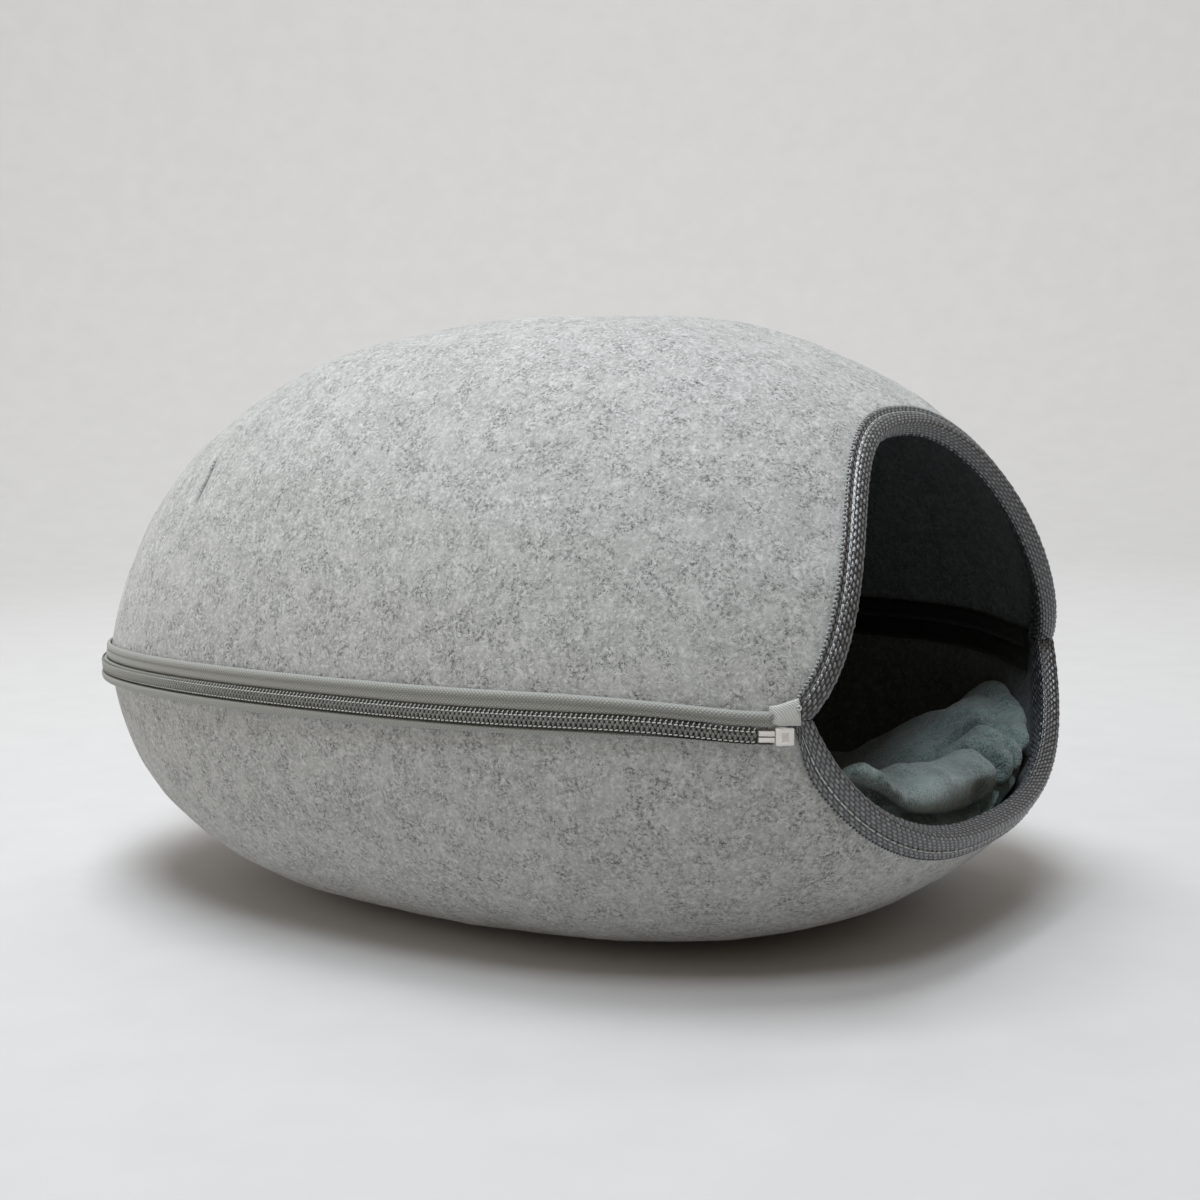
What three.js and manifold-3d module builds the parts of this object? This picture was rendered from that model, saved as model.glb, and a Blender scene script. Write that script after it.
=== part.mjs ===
// Felt rabbit hideout: an egg-shaped pod of two moulded felt shells joined by a zip,
// with a webbing-bound mouth at the front and a loose filled cushion in the bowl.
// Millimetres, +Z up, mouth towards -Y. Shapes are worked out with the zip plane at z = 0
// and the whole group is then set down with its foot on z = 0.
import * as THREE from 'three';
import { mergeVertices } from 'three/addons/utils/BufferGeometryUtils.js';
import { RoundedBoxGeometry } from 'three/addons/geometries/RoundedBoxGeometry.js';
import Module from 'manifold-3d';

const wasm = await Module();
wasm.setup();

// Plan outline in the zip plane: a superellipse with a longer back than front.
const HALF_WIDTH = 180;
const BACK_LENGTH = 265.5;
const FRONT_LENGTH = 243;
const PLAN_POWER = 2.44;

// Felt and the gaps kept between pieces.
const FELT = 5;
const RIM_GAP = 0.2;
const OUTER_GAP = 0.7;
const INNER_GAP = 1;

// Each shell: depth from the zip plane to its pole, lean of the wall at the rim in degrees,
// swell as the power of the wall curve, place of the pole along Y, and share of the plan
// that is pressed flat. The mouth's side view runs from MOUTH_Y at the zip plane with a
// slope and a bow over the depth, and is pinched back at the corners. Each leg of the webbing
// there reaches so far from the free edge, and keeps a share of that at the corners.
const SHELLS = {
  upper: {
    up: 1, depth: 166.5, lean: 9, swell: 0.806, pole: -3.7, flat: 0,
    slope: -30.5, bow: 94.8, pinch: 6, leg: 10.5, legAtCorner: 0.25,
  },
  lower: {
    up: -1, depth: 122.6, lean: 1, swell: 0.485, pole: -7.2, flat: 0.45,
    slope: -27.5, bow: -36.4, pinch: 1.3, leg: 12, legAtCorner: 0.33,
  },
};
const MOUTH_Y = -199.7;
const PINCH_REACH = 13.3;
const SLICES = 72;
const LEVELS = 10;

// Webbing folded over the mouth's edge.
const WEBBING = 1.6;
const FOLD = (FELT + OUTER_GAP + INNER_GAP) / 2 + WEBBING;
const FELT_SETBACK = FOLD + 0.6;
const CORNER_TRIM = 30;

// Zip: places along the equator are distances from the mouth's corners.
const ZIP_DROP = 5.2;
const ZIP_DROP_REACH = 24;
const BACK_DROP = 8.5;
const BACK_DROP_REACH = 160;
const BACK_ROLL = 2.2;
const BACK_ROLL_REACH = 330;
const CHAIN_START = 22.4;
const CHAIN_END = 52.4;
const TAPE_START = 16;
const TAPE_END = 18;
const BOX_AT = 11.6;
const PIN_AT = 18.7;
const SLIDER_AT = 46;
const SEAM_TAPE_START = 24;

// Cushion.
const CUSHION_CLEAR = 2;
const CUSHION_MID = -84;

const clamp = THREE.MathUtils.clamp;
const radians = THREE.MathUtils.degToRad;
const bump = (x, width) => Math.exp(-((x / width) ** 2));

function signedPower(value, power) {
  return Math.sign(value) * Math.abs(value) ** power;
}

// Plan outline at a plan angle, 0 at the back and half a turn at the front.
function outline(plan) {
  const x = HALF_WIDTH * signedPower(Math.sin(plan), 2 / PLAN_POWER);
  const c = Math.cos(plan);
  const length = c > 0 ? BACK_LENGTH : FRONT_LENGTH;
  return new THREE.Vector2(x, length * signedPower(c, 2 / PLAN_POWER));
}

// Plan angle of a point that lies on the outline.
function planOf(x, y) {
  const length = y > 0 ? BACK_LENGTH : FRONT_LENGTH;
  const s = signedPower(x / HALF_WIDTH, PLAN_POWER / 2);
  return Math.atan2(s, signedPower(y / length, PLAN_POWER / 2));
}

// Gradient of the outline's equation, which points straight out of the plan.
function outward(p) {
  const length = p.y > 0 ? BACK_LENGTH : FRONT_LENGTH;
  const gx = signedPower(p.x / HALF_WIDTH, PLAN_POWER - 1) / HALF_WIDTH;
  return new THREE.Vector2(gx, signedPower(p.y / length, PLAN_POWER - 1) / length);
}

// Height over the zip plane at a share of the plan, 1 at the rim and 0 at the pole.
function heightAt(shell, share) {
  const lean = radians(shell.lean);
  const s0 = Math.sin(lean);
  const c = Math.cos(lean) * Math.max(share, shell.flat) ** (1 / shell.swell);
  return (shell.depth * (Math.sqrt(1 - c * c) - s0)) / (1 - s0);
}

// Share of the plan at a height over the zip plane.
function shareAt(shell, height) {
  const s0 = Math.sin(radians(shell.lean));
  const s = clamp(s0 + ((1 - s0) * height) / shell.depth, -1, 1);
  return (Math.sqrt(1 - s * s) / Math.cos(radians(shell.lean))) ** shell.swell;
}

// How steeply the wall falls from the pole to the rim at a share of the plan.
function fallAt(shell, share) {
  if (share <= shell.flat) return 0;
  const lean = radians(shell.lean);
  const s0 = Math.sin(lean);
  const c = Math.cos(lean) * share ** (1 / shell.swell);
  const s = Math.sqrt(1 - c * c);
  return ((shell.depth / (1 - s0)) * c * c) / (shell.swell * share * s);
}

// Outward normal of a shell over a point of the outline at a share of the plan.
function normalAt(shell, p, share) {
  const g = outward(p);
  const fall = fallAt(shell, share);
  return new THREE.Vector3(g.x * fall, g.y * fall, shell.up * (1 - g.y * shell.pole)).normalize();
}

// Point of a shell's outer face at a plan angle and share, drawn in by an inset.
function skin(shell, plan, share, inset) {
  const p = outline(plan);
  const n = normalAt(shell, p, share);
  const y = share * p.y + (1 - share) * shell.pole;
  const point = new THREE.Vector3(share * p.x, y, shell.up * heightAt(shell, share));
  return point.addScaledVector(n, -inset);
}

// Nearest place on a shell's outer face straight towards its axis, with the normal there.
function settle(shell, q) {
  const share = shareAt(shell, shell.up * q.z);
  const shift = (1 - share) * shell.pole;
  const x = q.x / share;
  const y = (q.y - shift) / share;
  const length = y > 0 ? BACK_LENGTH : FRONT_LENGTH;
  const across = Math.abs(x / HALF_WIDTH) ** PLAN_POWER;
  const reach = (across + Math.abs(y / length) ** PLAN_POWER) ** (1 / PLAN_POWER);
  const p = new THREE.Vector2(x / reach, y / reach);
  const point = new THREE.Vector3(share * p.x, share * p.y + shift, q.z);
  return { point, normal: normalAt(shell, p, share) };
}

// Moves each vertex of a closed geometry, welds it, drops slivers and faces it outwards.
function shaped(geometry, move) {
  const source = geometry.clone();
  source.deleteAttribute('normal');
  source.deleteAttribute('uv');
  const place = source.attributes.position;
  for (let i = 0; i < place.count; i++) {
    const p = move(new THREE.Vector3().fromBufferAttribute(place, i));
    place.setXYZ(i, ...p.toArray().map((v) => Math.round(v * 1e4) / 1e4));
  }
  const welded = mergeVertices(source, 1e-3);
  const from = welded.index.array;
  const corners = welded.attributes.position;
  const [a, b, c] = [new THREE.Vector3(), new THREE.Vector3(), new THREE.Vector3()];
  const kept = [];
  let volume = 0;
  for (let i = 0; i < from.length; i += 3) {
    const [u, v, w] = [from[i], from[i + 1], from[i + 2]];
    if (u === v || v === w || w === u) continue;
    a.fromBufferAttribute(corners, u);
    b.fromBufferAttribute(corners, v);
    c.fromBufferAttribute(corners, w);
    volume += a.dot(b.cross(c));
    kept.push([u, v, w]);
  }
  const turned = volume < 0 ? kept.map(([u, v, w]) => [u, w, v]) : kept;
  welded.setIndex(turned.flat());
  return welded;
}

// A welded geometry as a solid for cutting and joining, and back again.
function solidOf(geometry) {
  const vertProperties = Float32Array.from(geometry.attributes.position.array);
  const triVerts = Uint32Array.from(geometry.index.array);
  return new wasm.Manifold(new wasm.Mesh({ numProp: 3, vertProperties, triVerts }));
}

function geometryOf(solid) {
  const mesh = solid.getMesh();
  const geometry = new THREE.BufferGeometry();
  const corners = Float32Array.from(mesh.vertProperties);
  geometry.setAttribute('position', new THREE.BufferAttribute(corners, 3));
  geometry.setIndex(Array.from(mesh.triVerts));
  return geometry;
}

// Half-space box on one side of the zip plane, for trimming.
function beyondZipPlane(up) {
  const box = new THREE.BoxGeometry(900, 900, 400);
  return solidOf(shaped(box, (p) => p.setZ(p.z + up * (RIM_GAP - 200))));
}

// Mouth edge of a shell at a height over the zip plane, on the side of the sign.
function edgePoint(shell, side, height) {
  const t = height / shell.depth;
  const pinched = height < 0 ? height / PINCH_REACH : 1 - Math.exp(-height / PINCH_REACH);
  const y = MOUTH_Y + shell.slope * t + shell.bow * t * t - shell.pinch * pinched;
  const share = shareAt(shell, height);
  const c = clamp((((1 - share) * shell.pole - y) / share) / FRONT_LENGTH, 0, 1);
  const x = share * HALF_WIDTH * (1 - c ** PLAN_POWER) ** (1 / PLAN_POWER);
  return new THREE.Vector3(side * x, y, shell.up * height);
}

// Height at which the mouth's two sides meet on the middle plane, found by halving.
function apexHeight(shell) {
  let low = 0;
  let high = shell.depth * 0.9;
  for (let i = 0; i < 50; i++) {
    const mid = (low + high) / 2;
    if (edgePoint(shell, 1, mid).x > 0) low = mid;
    else high = mid;
  }
  return low;
}

// Mouth edge as one curve from the near corner to the far one, a little past the zip plane.
function edgeCurve(shell) {
  const apex = apexHeight(shell);
  const half = [];
  for (let i = -2; i <= 24; i++) {
    const q = i / 24;
    half.push(edgePoint(shell, -1, apex * (1 - (1 - q) ** 2)));
  }
  const far = half.slice(0, -1).reverse().map((p) => new THREE.Vector3(-p.x, p.y, p.z));
  return new THREE.CatmullRomCurve3([...half, ...far], false, 'centripetal');
}

// Frame on the mouth edge: place, outward normal, and the way into the felt.
function edgeFrame(shell, curve, u) {
  const point = curve.getPointAt(u);
  const normal = settle(shell, point).normal;
  const inwards = normal.clone().cross(curve.getTangentAt(u)).normalize();
  if (inwards.y < 0) inwards.negate();
  return { point, normal, inwards };
}

// Point beside the mouth edge: so far into the felt, and so far off its outer face.
function besideEdge(shell, frame, into, off) {
  const at = settle(shell, frame.point.clone().addScaledVector(frame.inwards, into));
  return at.point.addScaledVector(at.normal, off);
}

// Wedge that takes the felt out of the mouth, square to the felt all round.
function mouthCutter(shell, curve) {
  const ring = 56;
  const outside = new THREE.Vector3(0, -340, 0);
  const inside = new THREE.Vector3(0, -90, shell.up * 40);
  const drum = new THREE.CylinderGeometry(1, 1, 2, ring, 1);
  return solidOf(
    shaped(drum, (p) => {
      if (Math.hypot(p.x, p.z) < 0.5) return (p.y > 0 ? outside : inside).clone();
      const turn = Math.atan2(p.x, p.z) / (2 * Math.PI);
      const step = (Math.round(turn * ring) + ring) % ring;
      const frame = edgeFrame(shell, curve, step / (ring - 1));
      const at = settle(shell, frame.point.clone().addScaledVector(frame.inwards, FELT_SETBACK));
      return at.point.addScaledVector(at.normal, p.y > 0 ? 20 : -20);
    }),
  );
}

// Felt shell: a flat disc of felt moulded over the egg, then cut open at the mouth.
function feltShell(shell, curve) {
  const shares = [];
  for (let i = 0; i < LEVELS; i++) {
    const wall = radians(shell.lean + ((90 - shell.lean) * i) / LEVELS);
    const share = (Math.cos(wall) / Math.cos(radians(shell.lean))) ** shell.swell;
    if (share > shell.flat + 0.05) shares.push(share);
  }
  if (shell.flat > 0) shares.push(shell.flat);
  shares.push(0);
  const face = shares.map((s) => new THREE.Vector2(s, 1)).reverse();
  const back = shares.map((s) => new THREE.Vector2(s, -1));
  const disc = new THREE.LatheGeometry([...face, ...back], SLICES);
  const moulded = shaped(disc, (p) => {
    const share = Math.hypot(p.x, p.z);
    const point = skin(shell, Math.atan2(p.x, p.z), share, p.y > 0 ? 0 : FELT);
    return point.setZ(shell.up * Math.max(shell.up * point.z, RIM_GAP));
  });
  return geometryOf(solidOf(moulded).subtract(mouthCutter(shell, curve)));
}

// Webbing section: a U whose round end is the mouth's free edge. Across: distance into the
// felt from that edge. Up: distance off the felt's outer face.
function webbingSection(leg) {
  const middle = (OUTER_GAP - FELT - INNER_GAP) / 2;
  const inner = FOLD - WEBBING;
  const half = (FOLD + leg) / 2;
  const section = new THREE.Shape();
  section.moveTo(leg, middle + inner);
  section.lineTo(leg, middle + FOLD);
  section.lineTo(half, middle + FOLD);
  section.absarc(FOLD, middle, FOLD, Math.PI / 2, (3 * Math.PI) / 2, false);
  section.lineTo(half, middle - FOLD);
  section.lineTo(leg, middle - FOLD);
  section.lineTo(leg, middle - inner);
  section.lineTo(half, middle - inner);
  section.absarc(FOLD, middle, inner, (3 * Math.PI) / 2, Math.PI / 2, true);
  section.lineTo(half, middle + inner);
  section.closePath();
  return section;
}

// Binding: the section carried along the mouth edge, its legs narrowed towards the corners.
function binding(shell, curve) {
  const run = { depth: 1, steps: 40, bevelEnabled: false, curveSegments: 3 };
  const strip = new THREE.ExtrudeGeometry(webbingSection(shell.leg), run);
  const length = curve.getLength();
  const swept = shaped(strip, (p) => {
    const u = clamp(p.z, 0, 1);
    const toCorner = Math.max(Math.min(u, 1 - u) * length - 6, 0);
    const full = THREE.MathUtils.smoothstep(toCorner, 0, CORNER_TRIM);
    const narrow = THREE.MathUtils.lerp(shell.legAtCorner, 1, full);
    const into = p.x > FOLD ? FOLD + (p.x - FOLD) * narrow : p.x;
    return besideEdge(shell, edgeFrame(shell, curve, u), into, p.y);
  });
  return geometryOf(solidOf(swept).subtract(beyondZipPlane(shell.up)));
}

// Equator from the near corner of the mouth round the back to the far corner.
const cornerPlan = Math.abs(planOf(edgePoint(SHELLS.upper, 1, 0).x, MOUTH_Y));
const equatorPoints = [];
for (let i = 0; i <= 160; i++) {
  const p = outline(-cornerPlan + (2 * cornerPlan * i) / 160);
  equatorPoints.push(new THREE.Vector3(p.x, p.y, 0));
}
const equator = new THREE.CatmullRomCurve3(equatorPoints, false, 'centripetal');
equator.arcLengthDivisions = 1200;
const EQUATOR_LENGTH = equator.getLength();

// How far the zip's middle line hangs below the zip plane by the mouth's corners and at the
// back.
function zipDrop(distance) {
  const end = Math.min(distance, EQUATOR_LENGTH - distance);
  const back = BACK_DROP * bump(distance - EQUATOR_LENGTH / 2, BACK_DROP_REACH);
  return -ZIP_DROP * bump(Math.max(end - BOX_AT, 0), ZIP_DROP_REACH) - back;
}

// Point by the wall: distance along the equator, height over the zip's middle, and how far
// off the felt.
function byWall(distance, height, off) {
  const p = equator.getPointAt(clamp(distance / EQUATOR_LENGTH, 0, 1));
  const z = height + zipDrop(distance);
  const shell = z > 0 ? SHELLS.upper : SHELLS.lower;
  const share = shareAt(shell, Math.abs(z));
  const onto = outline(planOf(p.x, p.y));
  const out = outward(onto).normalize();
  const x = share * onto.x + off * out.x;
  const y = share * onto.y + (1 - share) * shell.pole + off * out.y;
  return new THREE.Vector3(x, y, z);
}

// A section, across: off the felt, up: height, carried along the equator.
function alongZip(points, start, end, steps, shift = () => [0, 0]) {
  const section = new THREE.Shape(points.map(([off, height]) => new THREE.Vector2(off, height)));
  const strip = new THREE.ExtrudeGeometry(section, { depth: 1, steps, bevelEnabled: false });
  return shaped(strip, (p) => {
    const distance = THREE.MathUtils.lerp(start, end, clamp(p.z, 0, 1));
    const [out, rise] = shift(distance, p.y, p.x);
    return byWall(distance, p.y + rise, p.x + out);
  });
}

// Upper tape with its rolled top edge, and the flap that its near end is folded to.
function upperTape() {
  const roll = [
    [0.7, 3.6], [2.5, 3.6], [2.8, 7], [4, 7.5], [4.4, 9], [3.6, 10.5], [2.1, 11], [0.7, 10.7],
    [0.9, 8.3], [0.9, 6],
  ];
  const tape = alongZip(roll, TAPE_START, EQUATOR_LENGTH - TAPE_END, 84);
  const flat = [[0.7, 5], [2.3, 5], [2.5, 12], [0.7, 12]];
  const overWebbing = (distance, height) => {
    const past = (TAPE_START + 1 - distance) / 11.5;
    return [2.4 * THREE.MathUtils.smoothstep(past, 0, 0.3), past * (height > 8 ? 3.2 : -0.6)];
  };
  const flap = alongZip(flat, TAPE_START + 1, TAPE_START - 10.5, 6, overWebbing);
  return geometryOf(solidOf(tape).add(solidOf(flap)));
}

// Small zip fitting: a rounded block set on the wall with its length along the zip.
function fitting(length, thickness, height, radius) {
  return new RoundedBoxGeometry(length, thickness, height, 1, radius);
}

function setOnWall(mesh, distance, height, off) {
  const p = byWall(distance, height, off);
  const ahead = byWall(distance + 0.5, height, off).sub(byWall(distance - 0.5, height, off));
  mesh.position.copy(p);
  mesh.rotation.z = Math.atan2(ahead.y, ahead.x);
  return mesh;
}

// Cushion seam: low round the sides and back, drawn up the wall at both front corners.
function seamHeight(plan) {
  const front = Math.PI - Math.abs(plan);
  const corner = bump(front - 0.82, front < 0.82 ? 0.5 : 0.17);
  return -90 + 66 * corner + 16 * bump(front, 0.4);
}

// Cushion: a filled bag whose underside lies along the bowl and whose top is dished,
// with a full roll inside its seam.
function cushionBag() {
  const rings = 9;
  const top = [];
  const under = [];
  for (let i = 0; i <= rings; i++) {
    const share = 1 - (1 - i / rings) ** 1.5;
    top.push(new THREE.Vector2(share, 1 - share));
    if (i < rings) under.unshift(new THREE.Vector2(share, share - 1));
  }
  const bag = new THREE.LatheGeometry([...top, ...under], 48);
  return shaped(bag, (p) => {
    const share = Math.hypot(p.x, p.z);
    const plan = Math.atan2(p.x, p.z);
    const front = Math.PI - Math.abs(plan);
    const inset = FELT + CUSHION_CLEAR + 3.4 * bump(front, 1);
    const seam = seamHeight(plan);
    const seamShare = shareAt(SHELLS.lower, -seam);
    if (p.y < 0) return skin(SHELLS.lower, plan, share * seamShare, inset);
    const rim = skin(SHELLS.lower, plan, seamShare, inset);
    const climb = share ** 4;
    const roll = (10 + 14 * bump(front, 0.6)) * bump(share - 0.83, 0.12) * (1 - share ** 8);
    const z = climb * rim.z + (1 - climb) * CUSHION_MID + roll;
    return new THREE.Vector3(share * rim.x, share * rim.y, z);
  });
}

const materials = {
  felt: new THREE.MeshStandardMaterial({ color: '#b4b5b3', roughness: 0.95, metalness: 0 }),
  webbing: new THREE.MeshStandardMaterial({ color: '#5d6062', roughness: 0.6, metalness: 0 }),
  tape: new THREE.MeshStandardMaterial({ color: '#8c8d88', roughness: 0.8, metalness: 0 }),
  coil: new THREE.MeshStandardMaterial({ color: '#63635f', roughness: 0.5, metalness: 0 }),
  fittings: new THREE.MeshStandardMaterial({ color: '#cfcdc6', roughness: 0.45, metalness: 0 }),
  seamTape: new THREE.MeshStandardMaterial({ color: '#202324', roughness: 0.8, metalness: 0 }),
  fleece: new THREE.MeshStandardMaterial({ color: '#74807f', roughness: 0.95, metalness: 0 }),
};

const hideout = new THREE.Group();

function add(name, geometry, material) {
  const mesh = new THREE.Mesh(geometry, material);
  mesh.name = name;
  hideout.add(mesh);
  return mesh;
}

for (const name of ['upper', 'lower']) {
  const shell = SHELLS[name];
  const curve = edgeCurve(shell);
  add(`${name}_shell`, feltShell(shell, curve), materials.felt);
  add(`${name}_binding`, binding(shell, curve), materials.webbing);
}

const chain = [
  [0.6, -3.1], [2.5, -3.1], [3.5, -2], [4, 0], [3.5, 2], [2.5, 3.1], [0.6, 3.1], [0.8, 0],
];
const lowerTape = [[0.6, -7.4], [1.7, -7.6], [2.6, -6.6], [2.6, -3.6], [0.6, -3.6]];
// The lower tape is rolled thicker towards the back.
const backRoll = (distance, height, off) => {
  const roll = BACK_ROLL * bump(distance - EQUATOR_LENGTH / 2, BACK_ROLL_REACH);
  return [off > 1 ? roll : 0, 0];
};
const upperSeamTape = [[-7.3, 1], [-6.1, 1], [-6.1, 10], [-7.3, 10]];
const lowerSeamTape = [[-7.3, -11], [-6.1, -11], [-6.1, -1], [-7.3, -1]];
const seamTapeEnd = EQUATOR_LENGTH - SEAM_TAPE_START;
add('upper_zip_tape', upperTape(), materials.tape);
const tapeEnd = EQUATOR_LENGTH - TAPE_END;
const chainEnd = EQUATOR_LENGTH - CHAIN_END;
const sliderAt = EQUATOR_LENGTH - SLIDER_AT;
add('lower_zip_tape', alongZip(lowerTape, TAPE_START, tapeEnd, 84, backRoll), materials.tape);
add('zip_chain', alongZip(chain, CHAIN_START, chainEnd, 84), materials.coil);
add('upper_seam_tape', alongZip(upperSeamTape, SEAM_TAPE_START, seamTapeEnd, 64), materials.seamTape);
add('lower_seam_tape', alongZip(lowerSeamTape, SEAM_TAPE_START, seamTapeEnd, 64), materials.seamTape);
setOnWall(add('zip_box', fitting(7.2, 3.6, 7, 0.7), materials.fittings), BOX_AT, 0, 2.5);
setOnWall(add('zip_pin_upper', fitting(6.4, 2.4, 2.4, 0.6), materials.fittings), PIN_AT, 1.5, 2.2);
setOnWall(add('zip_pin_lower', fitting(6.4, 2.4, 2.4, 0.6), materials.fittings), PIN_AT, -1.5, 2.2);
setOnWall(add('zip_slider', fitting(12, 3.6, 8.6, 1.2), materials.fittings), sliderAt, 0, 5);
setOnWall(add('zip_pull', fitting(6.2, 1.4, 22, 0.6), materials.fittings), sliderAt, -9, 8.9);
add('cushion', cushionBag(), materials.fleece);

// Set down with the foot on z = 0 and the plan centred on the origin.
const box = new THREE.Box3().setFromObject(hideout);
hideout.position.set(0, -(box.min.y + box.max.y) / 2, -box.min.z);

export default hideout;
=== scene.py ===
# Felt rabbit hideout: a zipped pod of moulded felt with a webbing-bound mouth and a fleece cushion.
import math

import bpy
import numpy as np
from mathutils import Matrix, Vector


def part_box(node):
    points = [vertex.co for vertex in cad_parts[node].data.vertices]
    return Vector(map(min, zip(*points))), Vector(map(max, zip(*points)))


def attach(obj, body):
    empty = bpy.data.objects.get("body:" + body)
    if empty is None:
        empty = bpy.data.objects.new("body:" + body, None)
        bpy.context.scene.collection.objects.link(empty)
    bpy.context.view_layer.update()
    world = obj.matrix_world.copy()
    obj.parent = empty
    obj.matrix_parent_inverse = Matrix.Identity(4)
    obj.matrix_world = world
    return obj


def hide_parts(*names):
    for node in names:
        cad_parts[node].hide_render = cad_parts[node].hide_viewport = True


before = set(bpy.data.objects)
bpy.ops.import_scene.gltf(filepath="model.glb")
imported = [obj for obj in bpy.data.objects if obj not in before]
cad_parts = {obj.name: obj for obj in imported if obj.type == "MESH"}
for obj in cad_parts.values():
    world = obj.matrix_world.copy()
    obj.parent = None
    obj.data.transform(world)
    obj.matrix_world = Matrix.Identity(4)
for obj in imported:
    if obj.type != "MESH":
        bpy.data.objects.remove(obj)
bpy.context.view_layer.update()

# Sizes are in millimetres and are those of the solids, with the zip plane at height 0 and the
# plan centred on the zip; in_frame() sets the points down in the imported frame, in metres.
MM = 0.001
HALF_WIDTH = 180.0
BACK_LENGTH = 265.5
FRONT_LENGTH = 243.0
PLAN_POWER = 2.44
FELT = 5.0
RIM_GAP = 0.2
OUTER_GAP = 0.7
INNER_GAP = 1.0
UPPER = dict(up=1, depth=166.5, lean=9, swell=0.806, pole=-3.7, flat=0.0,
             slope=-30.5, bow=94.8, pinch=6.0, leg=10.5, leg_at_corner=0.25)
LOWER = dict(up=-1, depth=122.6, lean=1, swell=0.485, pole=-7.2, flat=0.45,
             slope=-27.5, bow=-36.4, pinch=1.3, leg=12.0, leg_at_corner=0.33)
MOUTH_Y = -199.7
PINCH_REACH = 13.3
ZIP_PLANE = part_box("upper_shell")[0].z / MM - RIM_GAP
PLAN_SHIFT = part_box("upper_shell")[1].y / MM - BACK_LENGTH

# Webbing folded over the mouth's edge, and its weave.
WEBBING = 1.6
FOLD = (FELT + OUTER_GAP + INNER_GAP) / 2 + WEBBING
FOLD_MIDDLE = (OUTER_GAP - FELT - INNER_GAP) / 2
FELT_SETBACK = FOLD + 0.6
FOLD_POWER = 3.6
CORNER_TRIM = 30.0
WEAVE_ALONG = 3.5
WEAVE_ACROSS = 1.45
WEAVE_RELIEF = 0.55

# Zip: places along the equator are distances from the mouth's corners.
ZIP_DROP, ZIP_DROP_REACH = 6.0, 42.0
BACK_DROP, BACK_DROP_REACH = 8.5, 160.0
BACK_ROLL, BACK_ROLL_REACH, BACK_LEAN = 3.4, 330.0, 1.6
CHAIN_START, CHAIN_END = 22.4, 52.4
TAPE_START, TAPE_END = 16.0, 18.0
BOX_AT, PIN_AT, SLIDER_AT = 11.6, 18.7, 46.0
SEAM_TAPE_START = 11.6
TOOTH_PITCH = 2.15
ZIP_STEPS = 420

# Cushion.
CUSHION_CLEAR = 2.0
CUSHION_MID = -84.0
# Height of the brow near the front edge, its share of the way out, and depth of the hollow under
# the thin edge.
BROW, BROW_AT, HOLLOW = 10, 0.86, 13
CUSHION_VOXEL = 3.6
FILL_PRESSURE, FILL_CAP = 2.5, 5


def smoothstep(value, low, high):
    """Rises from 0 to 1 between two values, level at both."""
    t = np.clip((value - low) / (high - low), 0, 1)
    return t * t * (3 - 2 * t)


def bump(value, width):
    """A bell curve, 1 at zero."""
    return np.exp(-((value / width) ** 2))


def signed_power(value, power):
    """A power of the size, with the sign kept."""
    return np.sign(value) * np.abs(value) ** power


def running_length(line):
    """Distance along a line of points, at each of them."""
    return np.concatenate([[0], np.cumsum(np.linalg.norm(np.diff(line, axis=0), axis=1))])


def swells(points, wavelength, seed, waves=14):
    """Soft unevenness: the sum of sine waves of about one wavelength that run in seeded directions."""
    rng = np.random.default_rng(seed)
    way = rng.normal(size=(waves, 3))
    way /= np.linalg.norm(way, axis=1, keepdims=True)
    pace = 2 * np.pi / (wavelength * rng.uniform(0.75, 1.35, waves))
    phase = rng.uniform(0, 2 * np.pi, waves)
    return np.sin(points @ (way * pace[:, None]).T + phase).sum(-1) / math.sqrt(waves)


# The pod's shape.

def half_length(y):
    """Length of the back or the front half of the plan, whichever a place is in."""
    return np.where(y > 0, BACK_LENGTH, FRONT_LENGTH)


def outline(plan):
    """Plan outline at an angle, 0 at the back: a superellipse with a longer back than front."""
    c = np.cos(plan)
    x = HALF_WIDTH * signed_power(np.sin(plan), 2 / PLAN_POWER)
    return x, half_length(c) * signed_power(c, 2 / PLAN_POWER)


def plan_of(x, y):
    """Plan angle of a point on the outline."""
    length = half_length(y)
    s = signed_power(x / HALF_WIDTH, PLAN_POWER / 2)
    return np.arctan2(s, signed_power(y / length, PLAN_POWER / 2))


def outward(x, y):
    """Gradient of the outline's equation, which points straight out of the plan."""
    length = half_length(y)
    gx = signed_power(x / HALF_WIDTH, PLAN_POWER - 1) / HALF_WIDTH
    return gx, signed_power(y / length, PLAN_POWER - 1) / length


def height_at(shell, share):
    """Height over the zip plane at a share of the plan, 1 at the rim and 0 at the pole."""
    lean = math.radians(shell["lean"])
    s0 = math.sin(lean)
    c = math.cos(lean) * np.maximum(share, shell["flat"]) ** (1 / shell["swell"])
    return shell["depth"] * (np.sqrt(1 - c * c) - s0) / (1 - s0)


def share_at(shell, height):
    """Share of the plan at a height over the zip plane."""
    lean = math.radians(shell["lean"])
    s0 = math.sin(lean)
    s = np.clip(s0 + (1 - s0) * height / shell["depth"], -1, 1)
    return (np.sqrt(1 - s * s) / math.cos(lean)) ** shell["swell"]


def normal_at(shell, x, y, share):
    """Outward normal over a point of the outline at a share of the plan."""
    lean = math.radians(shell["lean"])
    s0 = math.sin(lean)
    held = np.maximum(share, max(shell["flat"], 1e-6))
    c = math.cos(lean) * held ** (1 / shell["swell"])
    fall = shell["depth"] / (1 - s0) * c * c / (shell["swell"] * held * np.sqrt(1 - c * c))
    fall = np.where(share <= shell["flat"], 0, fall)
    gx, gy = outward(x, y)
    normal = np.stack(np.broadcast_arrays(gx * fall, gy * fall, shell["up"] * (1 - gy * shell["pole"])), -1)
    return normal / np.linalg.norm(normal, axis=-1, keepdims=True)


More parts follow.
